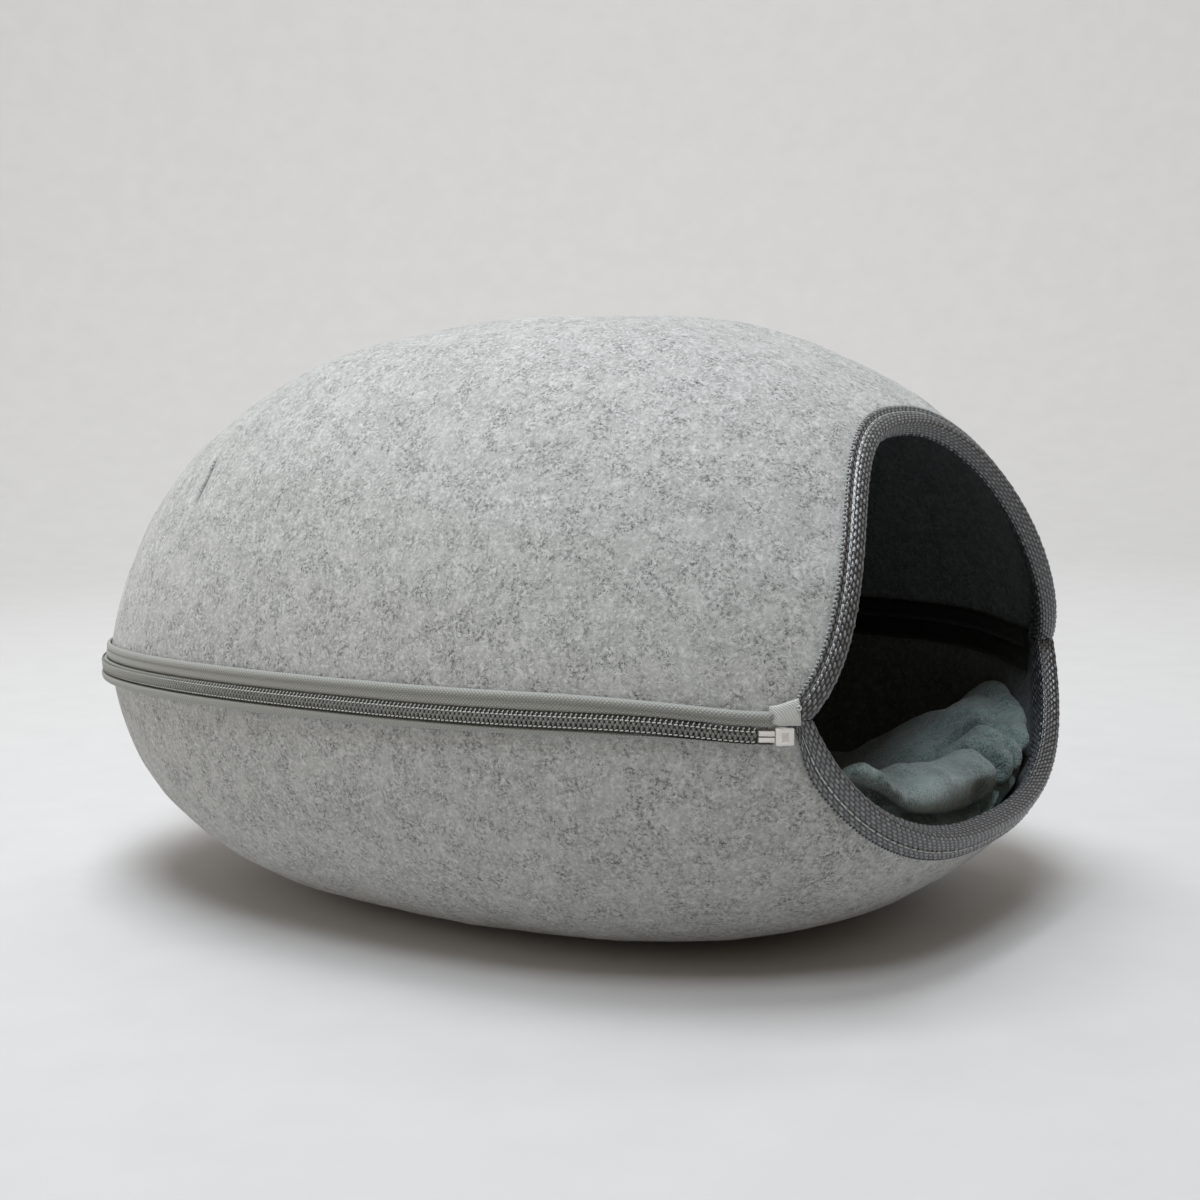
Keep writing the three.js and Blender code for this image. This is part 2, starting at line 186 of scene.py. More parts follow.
def skin(shell, plan, share, inset):
    """Point and normal of a shell's outer face at a plan angle and share, drawn in by an inset."""
    x, y = outline(plan)
    normal = normal_at(shell, x, y, share)
    along = share * y + (1 - share) * shell["pole"]
    point = np.stack(np.broadcast_arrays(share * x, along, shell["up"] * height_at(shell, share)), -1)
    return point - normal * np.asarray(inset)[..., None], normal


def settle(shell, q):
    """Place on a shell's outer face straight towards its axis, with the normal there."""
    share = share_at(shell, shell["up"] * q[..., 2])
    shift = (1 - share) * shell["pole"]
    x, y = q[..., 0] / share, (q[..., 1] - shift) / share
    length = half_length(y)
    reach = (np.abs(x / HALF_WIDTH) ** PLAN_POWER + np.abs(y / length) ** PLAN_POWER) ** (1 / PLAN_POWER)
    x, y = x / reach, y / reach
    return np.stack([share * x, share * y + shift, q[..., 2]], -1), normal_at(shell, x, y, share)


def even_steps(line, count):
    """A polyline again, with points at even distances, and those distances."""
    along = running_length(line)
    at = np.linspace(0, along[-1], count)
    return np.stack([np.interp(at, along, line[:, k]) for k in range(line.shape[1])], -1), at


def edge_point(shell, height):
    """Near side of the mouth's free edge: its side view is a parabola over the height, pinched back
    at the corner, and the plan's outline at that height gives how far it stands out."""
    t = height / shell["depth"]
    pinched = np.where(height < 0, height / PINCH_REACH, 1 - np.exp(-np.maximum(height, 0) / PINCH_REACH))
    y = MOUTH_Y + shell["slope"] * t + shell["bow"] * t * t - shell["pinch"] * pinched
    share = share_at(shell, height)
    c = np.clip(((1 - share) * shell["pole"] - y) / share / FRONT_LENGTH, 0, 1)
    x = -share * HALF_WIDTH * (1 - c ** PLAN_POWER) ** (1 / PLAN_POWER)
    return np.stack([x, y, shell["up"] * height], -1)


def mouth_edge(shell):
    """Stations along the mouth's free edge from the near corner to the far one, a little past the
    zip plane: place, outward normal and the way into the felt."""
    heights = np.linspace(0, 0.9 * shell["depth"], 20001)
    apex = heights[np.nonzero(edge_point(shell, heights)[:, 0] < 0)[0][-1]]
    q = np.linspace(-1 / 12, 1, 700)
    near = edge_point(shell, apex * (1 - (1 - q) ** 2))
    near[-1, 0] = 0
    line, along = even_steps(np.concatenate([near, near[-2::-1] * (-1, 1, 1)]), 1401)
    normal = settle(shell, line)[1]
    inwards = np.cross(normal, np.gradient(line, axis=0))
    inwards /= np.linalg.norm(inwards, axis=1, keepdims=True)
    inwards *= np.where(inwards[:, 1:2] < 0, -1, 1)
    return dict(shell=shell, along=along, point=line, inwards=inwards)


def beside_edge(edge, along, into, off):
    """Point so far along the mouth's edge, so far into the felt and so far off its outer face."""
    along, into, off = np.broadcast_arrays(along, into, off)
    point, inwards = (
        np.stack([np.interp(along, edge["along"], edge[key][:, k]) for k in range(3)], -1)
        for key in ("point", "inwards")
    )
    on, normal = settle(edge["shell"], point + inwards * into[..., None])
    return on + normal * off[..., None]


corner = edge_point(UPPER, np.array(0.0))
corner_plan = abs(float(plan_of(corner[0], corner[1])))
equator_plan = np.linspace(-corner_plan, corner_plan, 4001)
equator_along = running_length(np.stack(outline(equator_plan), -1))
EQUATOR = float(equator_along[-1])


def zip_drop(along):
    """How far the zip's middle hangs below the zip plane by the mouth's corners and at the back."""
    end = np.minimum(along, EQUATOR - along)
    at_ends = ZIP_DROP * bump(np.maximum(end - BOX_AT, 0), ZIP_DROP_REACH)
    return -at_ends - BACK_DROP * bump(along - EQUATOR / 2, BACK_DROP_REACH)


def to_the_back(along):
    """1 at the pod's back, fading out along its sides."""
    return bump(along - EQUATOR / 2, BACK_ROLL_REACH)


def by_wall(along, height, off):
    """Point by the wall: distance along the equator, height over the zip's middle, and distance off
    the felt, straight out of the plan."""
    along, height, off = np.broadcast_arrays(along, height, off)
    z = height + zip_drop(along)
    plan = np.interp(along, equator_along, equator_plan)
    share = np.where(z > 0, share_at(UPPER, np.abs(z)), share_at(LOWER, np.abs(z)))
    pole = np.where(z > 0, UPPER["pole"], LOWER["pole"])
    x, y = outline(plan)
    gx, gy = outward(x, y)
    size = np.hypot(gx, gy)
    return np.stack([share * x + off * gx / size, share * y + (1 - share) * pole + off * gy / size, z], -1)


# Meshes.

def in_frame(points):
    """Points in millimetres from the zip plane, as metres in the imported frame."""
    return (np.asarray(points).reshape(-1, 3) + (0, PLAN_SHIFT, ZIP_PLANE)) * MM


def from_frame(points):
    """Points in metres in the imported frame, as millimetres from the zip plane."""
    return points / MM - (0, PLAN_SHIFT, ZIP_PLANE)


def facing_out(points, faces):
    """Faces turned so that the closed mesh has a positive volume."""
    volume = 0.0
    for group in faces:
        a = points[group[:, 0]]
        for k in range(1, group.shape[1] - 1):
            volume += (a * np.cross(points[group[:, k]], points[group[:, k + 1]])).sum()
    return faces if volume > 0 else [group[:, ::-1] for group in faces]


def make_piece(name, points, faces, material, replaces=(), uv=None, weights=(), inner=None):
    """One mesh object from points in millimetres and arrays of faces. uv and weights are per point,
    and inner marks the faces that take the second material."""
    mesh = bpy.data.meshes.new(name)
    points = np.asarray(points).reshape(-1, 3)
    faces = facing_out(points, faces)
    corners = np.concatenate([group.ravel() for group in faces])
    sizes = np.concatenate([np.full(len(group), group.shape[1]) for group in faces])
    mesh.vertices.add(len(points))
    mesh.vertices.foreach_set("co", in_frame(points).ravel())
    mesh.loops.add(len(corners))
    mesh.loops.foreach_set("vertex_index", corners)
    mesh.polygons.add(len(sizes))
    mesh.polygons.foreach_set("loop_start", np.concatenate([[0], np.cumsum(sizes)[:-1]]))
    mesh.polygons.foreach_set("use_smooth", np.ones(len(sizes), bool))
    if inner is not None:
        mesh.polygons.foreach_set("material_index", inner.astype(np.int32))
    if uv is not None:
        layer = mesh.uv_layers.new(name="cloth")
        layer.data.foreach_set("uv", np.asarray(uv).reshape(-1, 2)[corners].ravel() * MM)
    for key, values in dict(weights).items():
        layer = mesh.attributes.new(key, "FLOAT", "POINT")
        layer.data.foreach_set("value", np.asarray(values, np.float32).ravel())
    mesh.update(calc_edges=True)
    for finish in material if isinstance(material, (list, tuple)) else [material]:
        mesh.materials.append(finish)
    piece = bpy.data.objects.new(name, mesh)
    bpy.context.scene.collection.objects.link(piece)
    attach(piece, "root")
    if replaces:
        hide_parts(*replaces)
    return piece


def grid_faces(rows, columns, wrap):
    """Quads of a grid whose points run row by row; wrap joins the last column to the first."""
    i, j = np.meshgrid(np.arange(rows - 1), np.arange(columns if wrap else columns - 1), indexing="ij")
    k = (j + 1) % columns
    quads = np.stack([i * columns + j, i * columns + k, (i + 1) * columns + k, (i + 1) * columns + j], -1)
    return quads.reshape(-1, 4)


def swept_faces(rings, around):
    """Faces of a profile carried along a path: its wall, and a flat face over each end."""
    ends = np.stack([np.arange(around)[::-1], np.arange(around) + (rings - 1) * around])
    return [grid_faces(rings, around, True), ends]


def pole_fans(rows, columns, first, last):
    """Triangles that close a grid's first row round one point and its last row round another."""
    j = np.arange(columns)
    k = (j + 1) % columns
    end = (rows - 1) * columns
    return np.concatenate([np.stack([np.full(columns, first), k, j], -1),
                           np.stack([np.full(columns, last), end + j, end + k], -1)])


def copies(faces, size, count):
    """The faces of one small shape of so many points, again for each of its copies."""
    first = size * np.arange(count)[:, None, None]
    return [(group[None] + first).reshape(-1, group.shape[1]) for group in faces]


def rounded(section, rounds=2):
    """A closed outline with its corners cut back to a quarter of each side, again and again."""
    section = np.asarray(section, float)
    for _ in range(rounds):
        after = np.roll(section, -1, axis=0)
        section = np.stack([0.75 * section + 0.25 * after, 0.25 * section + 0.75 * after], 1).reshape(-1, 2)
    return section


def grain(length, radius, sides=6, rings=7):
    """A round-ended rod along its first axis: rings whose radius follows a circle at both ends."""
    x = length / 2 * np.sin(np.linspace(-np.pi / 2, np.pi / 2, rings))
    past = np.clip((np.abs(x) - (length / 2 - radius)) / radius, 0, 0.94)
    r = radius * np.sqrt(1 - past ** 2)
    turn = np.linspace(0, 2 * np.pi, sides, endpoint=False)
    x, r = x[:, None], r[:, None]
    points = np.stack(np.broadcast_arrays(x, r * np.cos(turn), r * np.sin(turn)), -1)
    return points.reshape(-1, 3), swept_faces(rings, sides)


def turned(points, lean):
    """First and second coordinate of points after a turn about the third axis."""
    x, y = points[:, 0], points[:, 1]
    return x * math.cos(lean) - y * math.sin(lean), x * math.sin(lean) + y * math.cos(lean)


# Materials.

def linear(code):
    """An sRGB hex colour as linear RGBA."""
    srgb = np.array([int(code[k:k + 2], 16) for k in (1, 3, 5)]) / 255
    flat = np.where(srgb <= 0.04045, srgb / 12.92, ((srgb + 0.055) / 1.055) ** 2.4)
    return (*flat.tolist(), 1.0)


def add_node(tree, kind, inputs=(), **settings):
    """Adds one node. settings are its properties, and inputs gives each socket, by name or number,
    a value or the output that it is linked to."""
    made = tree.nodes.new(kind)
    for key, value in settings.items():
        setattr(made, key, value)
    for key, value in dict(inputs).items():
        if isinstance(value, bpy.types.NodeSocket):
            tree.links.new(value, made.inputs[key])
        else:
            made.inputs[key].default_value = value
    return made


def start_material(name, **sockets):
    """A material and its node tree; sockets are values on the shader itself."""
    material = bpy.data.materials.new(name)
    material.use_nodes = True
    for key, value in sockets.items():
        material.node_tree.nodes["Principled BSDF"].inputs[key.replace("_", " ")].default_value = value
    return material, material.node_tree


def noise(tree, place, size_mm, detail, **more):
    """Noise whose lumps are about so many millimetres across."""
    inputs = {"Vector": place, "Scale": 1 / (size_mm * MM), "Detail": detail, **more}
    return add_node(tree, "ShaderNodeTexNoise", inputs).outputs["Fac"]


def between(tree, value, low, high, least=0.0, most=1.0):
    """A value's range spread over another one, and held to it."""
    return add_node(tree, "ShaderNodeMapRange", {0: value, 1: low, 2: high, 3: least, 4: most}).outputs[0]


def joined(tree, kind, *values):
    """Values put together by one kind of sum."""
    return add_node(tree, "ShaderNodeMath", dict(enumerate(values)), operation=kind).outputs[0]


def laid_over(tree, amount, under, over, **settings):
    """One colour over another by an amount. A colour is a hex code or an output."""
    under, over = (linear(colour) if isinstance(colour, str) else colour for colour in (under, over))
    inputs = {0: amount, 6: under, 7: over}
    return add_node(tree, "ShaderNodeMix", inputs, data_type="RGBA", **settings).outputs[2]


def finish_material(material, colour, height, strength, depth_mm):
    """Links the shader to its colour and to a relief of so many millimetres."""
    tree = material.node_tree
    shader = tree.nodes["Principled BSDF"]
    inputs = {"Height": height, "Strength": strength, "Distance": depth_mm * MM}
    relief = add_node(tree, "ShaderNodeBump", inputs)
    tree.links.new(colour, shader.inputs["Base Color"])
    tree.links.new(relief.outputs[0], shader.inputs["Normal"])
    return material


def marled_felt(name, pale, mid, grey, dark, sheen=0.2):
    """Needled wool and polyester felt, pressed in a heated mould: a pale mix that clouds a little, with
    dark and near-white hairs on it in clumps, so the eye sees short soft streaks that curl every way."""
    material, tree = start_material(name, Roughness=0.95, Sheen_Weight=sheen, Sheen_Roughness=0.5)
    place = add_node(tree, "ShaderNodeTexCoord").outputs["Object"]

    def patches(size_mm, shift_mm, detail, warp=0.0):
        """Noise moved to a place of its own, so that no two patterns agree."""
        inputs = {"Vector": place, "Location": (shift_mm * MM,) * 3}
        moved = add_node(tree, "ShaderNodeMapping", inputs).outputs[0]
        return noise(tree, moved, size_mm, detail, Distortion=warp)

    def hairs(sizes_mm, shift_mm, width, broken_mm):
        """Thin curling lines, where noise crosses its middle value, broken up by finer noise. The hairs
        are drawn a few times thicker than real ones, which would not show."""
        found = None
        for k, size_mm in enumerate(sizes_mm):
            from_middle = joined(tree, "SUBTRACT", patches(size_mm, shift_mm + 31 * k, 1.0, 0.6), 0.5)
            line = between(tree, joined(tree, "ABSOLUTE", from_middle), 0.0, width, 1.0, 0.0)
            found = line if found is None else joined(tree, "MAXIMUM", found, line)
        unbroken = between(tree, patches(broken_mm, shift_mm + 7, 1.0), 0.44, 0.58)
        return joined(tree, "MULTIPLY", found, unbroken)

    dark_hairs = hairs(DARK_HAIRS, 11, 0.05, 1.3)
    pale_hairs = hairs(PALE_HAIRS, 47, 0.045, 1.8)
    clumps = between(tree, patches(9, 5, 3.0), 0.36, 0.64, 0.2)
    flecks = between(tree, patches(1.7, 19, 3.0), 0.42, 0.68, 0.0, 0.62)
    colour = laid_over(tree, between(tree, patches(20, 3, 3.0), 0.34, 0.66), mid, grey)
    colour = laid_over(tree, joined(tree, "MULTIPLY", flecks, clumps), colour, dark)
    colour = laid_over(tree, between(tree, patches(3.4, 71, 3.0), 0.48, 0.72, 0.0, 0.5), colour, pale)
    colour = laid_over(tree, joined(tree, "MULTIPLY", dark_hairs, clumps), colour, dark)
    colour = laid_over(tree, joined(tree, "MULTIPLY", pale_hairs, 0.7), colour, pale)
    # Painted shade: the colour is darkened towards the dark hair colour along the small crease on the near
    # side, by the crease's weight.
    crease_and_painted_shade = add_node(tree, "ShaderNodeAttribute", attribute_name="crease_and_painted_shade").outputs["Fac"]
    raised = joined(tree, "SUBTRACT", pale_hairs, dark_hairs)
    return finish_material(material, laid_over(tree, crease_and_painted_shade, colour, dark), raised, 0.3, 0.3)


def woven_webbing(name, yarn, gap):
    """Polypropylene webbing, woven from flat shiny yarn: the floats stand up as lozenges that catch
    the light, the gaps between them are painted near black as shade, and each float shows its fine filaments."""
    material, tree = start_material(name, Roughness=0.3, IOR=1.49, Specular_IOR_Level=0.9, Coat_Weight=0.3,
                                    Coat_Roughness=0.22, Coat_IOR=1.6)
    pad = add_node(tree, "ShaderNodeAttribute", attribute_name="float").outputs["Fac"]
    # Painted shade: the lower a point of the weave, the nearer its colour is to the near-black gap colour.
    gap_shade_ramp = add_node(tree, "ShaderNodeValToRGB", {0: pad})
    for stop, colour, at in zip(gap_shade_ramp.color_ramp.elements, (gap, yarn), (0.2, 0.95)):
        stop.color, stop.position = linear(colour), at
    place = add_node(tree, "ShaderNodeUVMap", uv_map="cloth").outputs[0]
    # Filaments lie across each float; about 0.5 mm apart here, coarser than the real ones.
    filaments = (1 / (2.5 * MM), 1 / (0.5 * MM), 1.0)
    laid = add_node(tree, "ShaderNodeMapping", {"Vector": place, "Scale": filaments})
    inputs = {"Vector": laid.outputs[0], "Scale": 1.0, "Detail": 1.0}
    threads = add_node(tree, "ShaderNodeTexNoise", inputs).outputs["Fac"]
    shade = between(tree, threads, 0.3, 0.7, 0.72, 1.2)
    colour = laid_over(tree, 1.0, gap_shade_ramp.outputs[0], shade, blend_type="MULTIPLY")
    return finish_material(material, colour, threads, 0.4, 0.2)


def woven_tape(name, light, dark, pitch_mm, across=True):
    """Polyester tape, woven fine: slanting ridges, crossed by others where the weave is plain, so the
    eye sees rows of small pale dots. About a millimetre apart, coarser than the real ones."""
    material, tree = start_material(name, Roughness=0.7, Sheen_Weight=0.15)
    place = add_node(tree, "ShaderNodeUVMap", uv_map="cloth").outputs[0]
    weave = None
    for turn in (TAPE_SLANT, -TAPE_SLANT) if across else (TAPE_SLANT,):
        laid = add_node(tree, "ShaderNodeMapping", {"Vector": place, "Rotation": (0.0, 0.0, turn),
                                                    "Scale": (1 / MM, 1 / MM, 1.0)}).outputs[0]
        inputs = {"Vector": laid, "Scale": WAVE_SCALE / pitch_mm, "Distortion": 0.8,
                  "Detail": 1.0, "Detail Scale": 2.0}
        ridges = add_node(tree, "ShaderNodeTexWave", inputs, bands_direction="X").outputs["Fac"]
        weave = ridges if weave is None else joined(tree, "MULTIPLY", weave, ridges)
    return finish_material(material, laid_over(tree, weave, dark, light), weave, 0.6, 0.3)


def mottled(name, light, dark, grain_mm, bump_mm, at_back=None, **sockets):
    """A surface of one colour that varies a little over its grain, with a slight unevenness. It can turn
    to another colour towards the pod's back."""
    material, tree = start_material(name, **sockets)
    grains = noise(tree, add_node(tree, "ShaderNodeTexCoord").outputs["Object"], grain_mm, 3.0)
    colour = laid_over(tree, between(tree, grains, 0.3, 0.7), dark, light)
    if at_back:
        back = add_node(tree, "ShaderNodeAttribute", attribute_name="back").outputs["Fac"]
        colour = laid_over(tree, between(tree, back, 0.4, 0.75), colour, at_back)
    return finish_material(material, colour, grains, 0.5, bump_mm)


def brushed_fleece(name, light, dark):
    """Polyester fleece, knitted and brushed: a short dense nap that lies in soft tufts, paler where
    it is rubbed up, with a velvety rim."""
    material, tree = start_material(name, Roughness=1.0, Sheen_Weight=0.5, Sheen_Roughness=0.45)
    place = add_node(tree, "ShaderNodeTexCoord").outputs["Object"]
    tufts = noise(tree, place, 2.8, 3.0, Roughness=0.75)
    rubbed = noise(tree, place, 22, 2.0)
    nap = noise(tree, place, 0.8, 2.0)
    pile = add_node(tree, "ShaderNodeMix", {0: 0.5, 2: tufts, 3: nap}).outputs[0]
    level = between(tree, joined(tree, "MULTIPLY_ADD", rubbed, 0.6, pile), 0.68, 0.92)
    return finish_material(material, laid_over(tree, level, dark, light), pile, 1.0, 2.2)


# Slant of the tapes' ridges, and the wave texture's scale for ridges a millimetre apart.
TAPE_SLANT, WAVE_SCALE = 0.8, 0.314
# Sizes of the noise that the hairs are drawn from, in millimetres.
DARK_HAIRS, PALE_HAIRS = (2.2, 3.4), (3.0, 4.6)
FELT_OUTSIDE = marled_felt("grey marled felt, moulded", "#d6d8d7", "#b6b8b6", "#acaeac", "#515352")
FELT_INSIDE = marled_felt("charcoal felt, moulded", "#858d8d", "#687070", "#5e6666", "#383f40", sheen=0.1)
# The second colour is painted shade, near black, for the gaps between the floats.
WEBBING_YARN = woven_webbing("grey webbing, woven", "#83878b", "#08090a")
SELVEDGE_YARN = mottled("webbing selvedge yarn, twisted", "#b4b6b4", "#8b8e8e", 1.2, 0.1, Roughness=0.5)
TAPE_CLOTH = woven_tape("grey zip tape, woven", "#bbbdb8", "#8b8d88", 1.2)
FLAP_CLOTH = woven_tape("pale zip tape end, twill woven", "#cfd1cd", "#b6b8b4", 0.8, across=False)
# The coil, its core and the zip thread take another tone towards the pod's back.
COIL_NYLON = mottled("grey nylon coil, extruded", "#848580", "#6c6d68", 3.0, 0.05, "#a2a39d",
                     Roughness=0.4, IOR=1.53)
COIL_CORE = mottled("dark core of the coil, twisted", "#40413d", "#2e2f2c", 1.0, 0.1, "#94958f",
                    Roughness=0.8)
SEWING_THREAD = mottled("pale polyester thread, twisted", "#dddeda", "#bcbeb9", 0.8, 0.05, Roughness=0.45)
ZIP_THREAD = mottled("pale zip thread, twisted", "#d3d5cf", "#b0b2ac", 0.8, 0.05, "#a6a7a1", Roughness=0.45)
PALE_PLASTIC = mottled("off-white acetal, injection moulded", "#f4f2ee", "#ebe9e4", 4.0, 0.03,
                       Roughness=0.34, IOR=1.48)
SEAM_CLOTH = woven_tape("black seam tape, woven", "#0e1011", "#090a0b", 1.4)
FLEECE = brushed_fleece("grey-blue fleece, brushed", "#93a9a8", "#566867")


# Felt shells.

CREASE_TOP, CREASE_FOOT = (-0.955, 0.781), (-1.046, 0.868)
CREASE_DEPTH = 1.8
# Finer columns and rows round the crease: their plan angles and shares of the plan.
CREASE_COLUMNS = np.linspace(-1.075, -0.94, 38)
CREASE_ROWS = np.linspace(0.775, 0.885, 58)
FELT_COLUMNS, CUT_COLUMNS, FELT_ROWS = 180, 130, 84
# Unevenness of the moulding, outside and inside: height and wavelength.
OUTER_SWELLS, INNER_SWELL = ((0.55, 75), (0.22, 26), (0.1, 10)), (0.4, 60)


def crease_offset(plan, share):
    """Distance across the small crease on the near side, in mm, and how far along it a point is."""
    t = (share - CREASE_TOP[1]) / (CREASE_FOOT[1] - CREASE_TOP[1])
    middle = CREASE_TOP[0] + (CREASE_FOOT[0] - CREASE_TOP[0]) * t - 0.008 * np.sin(np.pi * np.clip(t, 0, 1))
    return (plan - middle) * HALF_WIDTH, t


def felt_shell(name, edge, node, seed):
    """A moulded felt shell: columns run from the pole to the rim, which is the zip plane round the
    back and the mouth's cut edge at the front, and rows are at even steps along the wall. The outer
    face and the inner one, a felt's thickness below, are closed along the rim. Soft swells of a
    fraction of a millimetre make the moulding uneven."""
    shell = edge["shell"]
    cut = beside_edge(edge, np.linspace(0, edge["along"][-1], CUT_COLUMNS), FELT_SETBACK, 0)
    cut = cut[shell["up"] * cut[:, 2] > RIM_GAP]
    cut_share = share_at(shell, shell["up"] * cut[:, 2])
    cut_plan = plan_of(cut[:, 0] / cut_share, (cut[:, 1] - (1 - cut_share) * shell["pole"]) / cut_share)
    back = np.interp(np.linspace(0, EQUATOR, FELT_COLUMNS), equator_along, equator_plan)
    back = back[(back > cut_plan[0] + 0.012) & (back < cut_plan[-1] - 0.012)]
    if shell is UPPER:
        back = np.unique(np.concatenate([back, CREASE_COLUMNS]))
    plan = np.concatenate([cut_plan, back[::-1]])
    rim = np.concatenate([cut_share, np.ones(len(back))])
    fine = np.linspace(0, 1, 4001)
    reach = np.hypot(np.diff(fine) * (HALF_WIDTH + BACK_LENGTH) / 2, np.diff(height_at(shell, fine)))
    wall = np.concatenate([[0], np.cumsum(reach)])
    rows = np.interp(np.linspace(0, wall[-1], FELT_ROWS)[1:], wall, fine)
    if shell is UPPER:
        rows = np.unique(np.concatenate([rows, CREASE_ROWS]))
    share = rows[:, None] * rim
    outer, normal = skin(shell, plan, share, 0)
    below, _ = skin(shell, plan, share, FELT)
    free = smoothstep(1 - rows, 0, 0.09)[:, None]
    uneven = sum(size * swells(outer, wave, seed + k) for k, (size, wave) in enumerate(OUTER_SWELLS))
    crease_and_painted_shade = np.zeros(share.shape)
    if shell is UPPER:
        across, along = crease_offset(plan, share)
        held = smoothstep(along, 0, 0.3) * (1 - smoothstep(along, 0.75, 1.05))
        crease_and_painted_shade = held * bump(across, 0.75)
        uneven = uneven - CREASE_DEPTH * crease_and_painted_shade + 0.8 * held * bump(across - 2.6, 2.2)
    outer = outer + normal * (uneven * free)[..., None]
    below = below + normal * (INNER_SWELL[0] * swells(below, INNER_SWELL[1], seed + 3) * free)[..., None]
    for face in (outer, below):
        face[..., 2] = shell["up"] * np.maximum(shell["up"] * face[..., 2], RIM_GAP)
        if shell["flat"] > 0:
            floor = -height_at(shell, 0.0)
            face[..., 2] = np.maximum(face[..., 2], floor + (0 if face is outer else FELT - 0.5))
    count = len(plan)
    poles = np.stack([skin(shell, np.array(0.5), np.array(0.0), inset)[0] for inset in (0.0, FELT)])
    points = np.concatenate([outer.reshape(-1, 3), below[::-1].reshape(-1, 3), poles])
    wall_faces = grid_faces(2 * len(rows), count, True)
    fans = pole_fans(2 * len(rows), count, len(points) - 2, len(points) - 1)
    inner = np.concatenate([np.arange(len(wall_faces)) >= (len(rows) - 1) * count,
                            np.arange(2 * count) >= count])
    # The crease's weight also darkens the felt's colour along it: painted shade over the real groove.
    weights = {"crease_and_painted_shade": np.concatenate([crease_and_painted_shade.ravel(), np.zeros(len(points) - crease_and_painted_shade.size)])}
    return make_piece(name, points, [wall_faces, fans], [FELT_OUTSIDE, FELT_INSIDE], [node],
                      weights=weights, inner=inner)


# Webbing round the mouth.

def fold_size(turn):
    """Radius of the fold as a share of its half thickness: a superellipse, which lies flatter over the
    felt's cut edge than half a circle would."""
    return (np.abs(np.cos(turn)) ** FOLD_POWER + np.abs(np.sin(turn)) ** FOLD_POWER) ** (-1 / FOLD_POWER)


fold_turn = np.linspace(0, np.pi, 721)
fold_line = FOLD * fold_size(fold_turn) * np.stack([np.cos(fold_turn), np.sin(fold_turn)])
fold_along = np.concatenate([[0], np.cumsum(np.hypot(*np.diff(fold_line)))])


def webbing_width(shell):
    """Width of the webbing laid flat: two legs and the fold."""
    return 2 * (shell["leg"] - FOLD) + fold_along[-1]


def webbing_point(edge, along, across, lift):
    """Point on the webbing: distance along the mouth, distance across it from its outer edge over
    the fold to its inner edge, and lift off its face. The section is a straight leg, the fold
    and another leg, and the legs narrow towards the corners."""
    shell = edge["shell"]
    along, across, lift = np.broadcast_arrays(along, across, lift)
    leg = shell["leg"] - FOLD
    turn = np.interp(across - leg, fold_along, fold_turn)
    past = np.maximum(leg - across, 0) + np.maximum(across - leg - fold_along[-1], 0)
    size = fold_size(turn)
    into = FOLD + past - (FOLD + lift) * size * np.sin(turn)
    off = FOLD_MIDDLE + (FOLD + lift) * size * np.cos(turn)
    to_corner = np.maximum(np.minimum(along, edge["along"][-1] - along) - 6, 0)
    narrow = shell["leg_at_corner"] + (1 - shell["leg_at_corner"]) * smoothstep(to_corner, 0, CORNER_TRIM)
    into = np.where(into > FOLD, FOLD + (into - FOLD) * narrow, into)
    return beside_edge(edge, along, into, off)


def weave_float(along, across):
    """How far a yarn stands up, 0 in the gaps to 1: columns of slanted ovals, each column half a pitch on
    from the last, with every oval a little higher or lower than the next."""
    column = np.floor(across / WEAVE_ACROSS)
    v = across / WEAVE_ACROSS - column - 0.5
    u = along / WEAVE_ALONG + 0.5 * (column % 2) + 0.22 * v
    row = np.floor(u)
    tall = 0.82 + 0.18 * np.sin(12.9 * column + 78.2 * row)
    return tall * np.sqrt(np.clip(1 - (2.1 * (u - row - 0.5)) ** 2 - (1.9 * v) ** 2, 0, 1))


def webbing_ends(edge, across, lift):
    """Distances along the mouth at which each line of the webbing crosses the zip plane."""
    along = np.linspace(0, edge["along"][-1], 900)
    height = edge["shell"]["up"] * webbing_point(edge, along[:, None], across, lift)[..., 2] - RIM_GAP
    above = height > 0
    first = above.argmax(0)
    last = len(along) - 1 - above[::-1].argmax(0)
    j = np.arange(len(across))
    step = along[1]
    start = along[first - 1] + step * height[first - 1, j] / (height[first - 1, j] - height[first, j])
    end = along[last] + step * height[last, j] / (height[last, j] - height[last + 1, j])
    return start, end


def bound_edge(name, edge, node, stitch_at):
    """Webbing folded over the mouth's edge: the weave's floats lift its face, it is drawn down along
    the seam, and a plain underside closes it next to the felt."""
    width = webbing_width(edge["shell"])
    face = np.append(np.arange(0, width - 0.1, WEAVE_ACROSS / 4), width)
    under = np.linspace(width, 0, 16)
    across = np.concatenate([face, under])
    lift = np.concatenate([np.zeros(len(face)), np.full(len(under), -WEBBING)])
    start, end = webbing_ends(edge, across, lift)
    t = np.linspace(0, 1, round((edge["along"][-1] - 30) / 0.4))[:, None]
    along = start + (end - start) * t
    yarn = weave_float(along, across)
    drawn = 0.6 * bump(across - stitch_at, 1.0) + 0.4 * bump(across - (width - stitch_at), 1.2)
    raised = np.where(lift < 0, lift, WEAVE_RELIEF * (yarn - 0.55) - drawn)
    points = webbing_point(edge, along, across, raised)
    uv = np.stack(np.broadcast_arrays(along, across), -1)
    piece = make_piece(name, points, swept_faces(len(t), len(across)), WEBBING_YARN, [node],
                       uv=uv, weights={"float": np.where(lift < 0, 0, yarn)})
    return piece, (float(start.max()), float(end.min())), (width * MM, float(np.mean(end - start)) * MM)


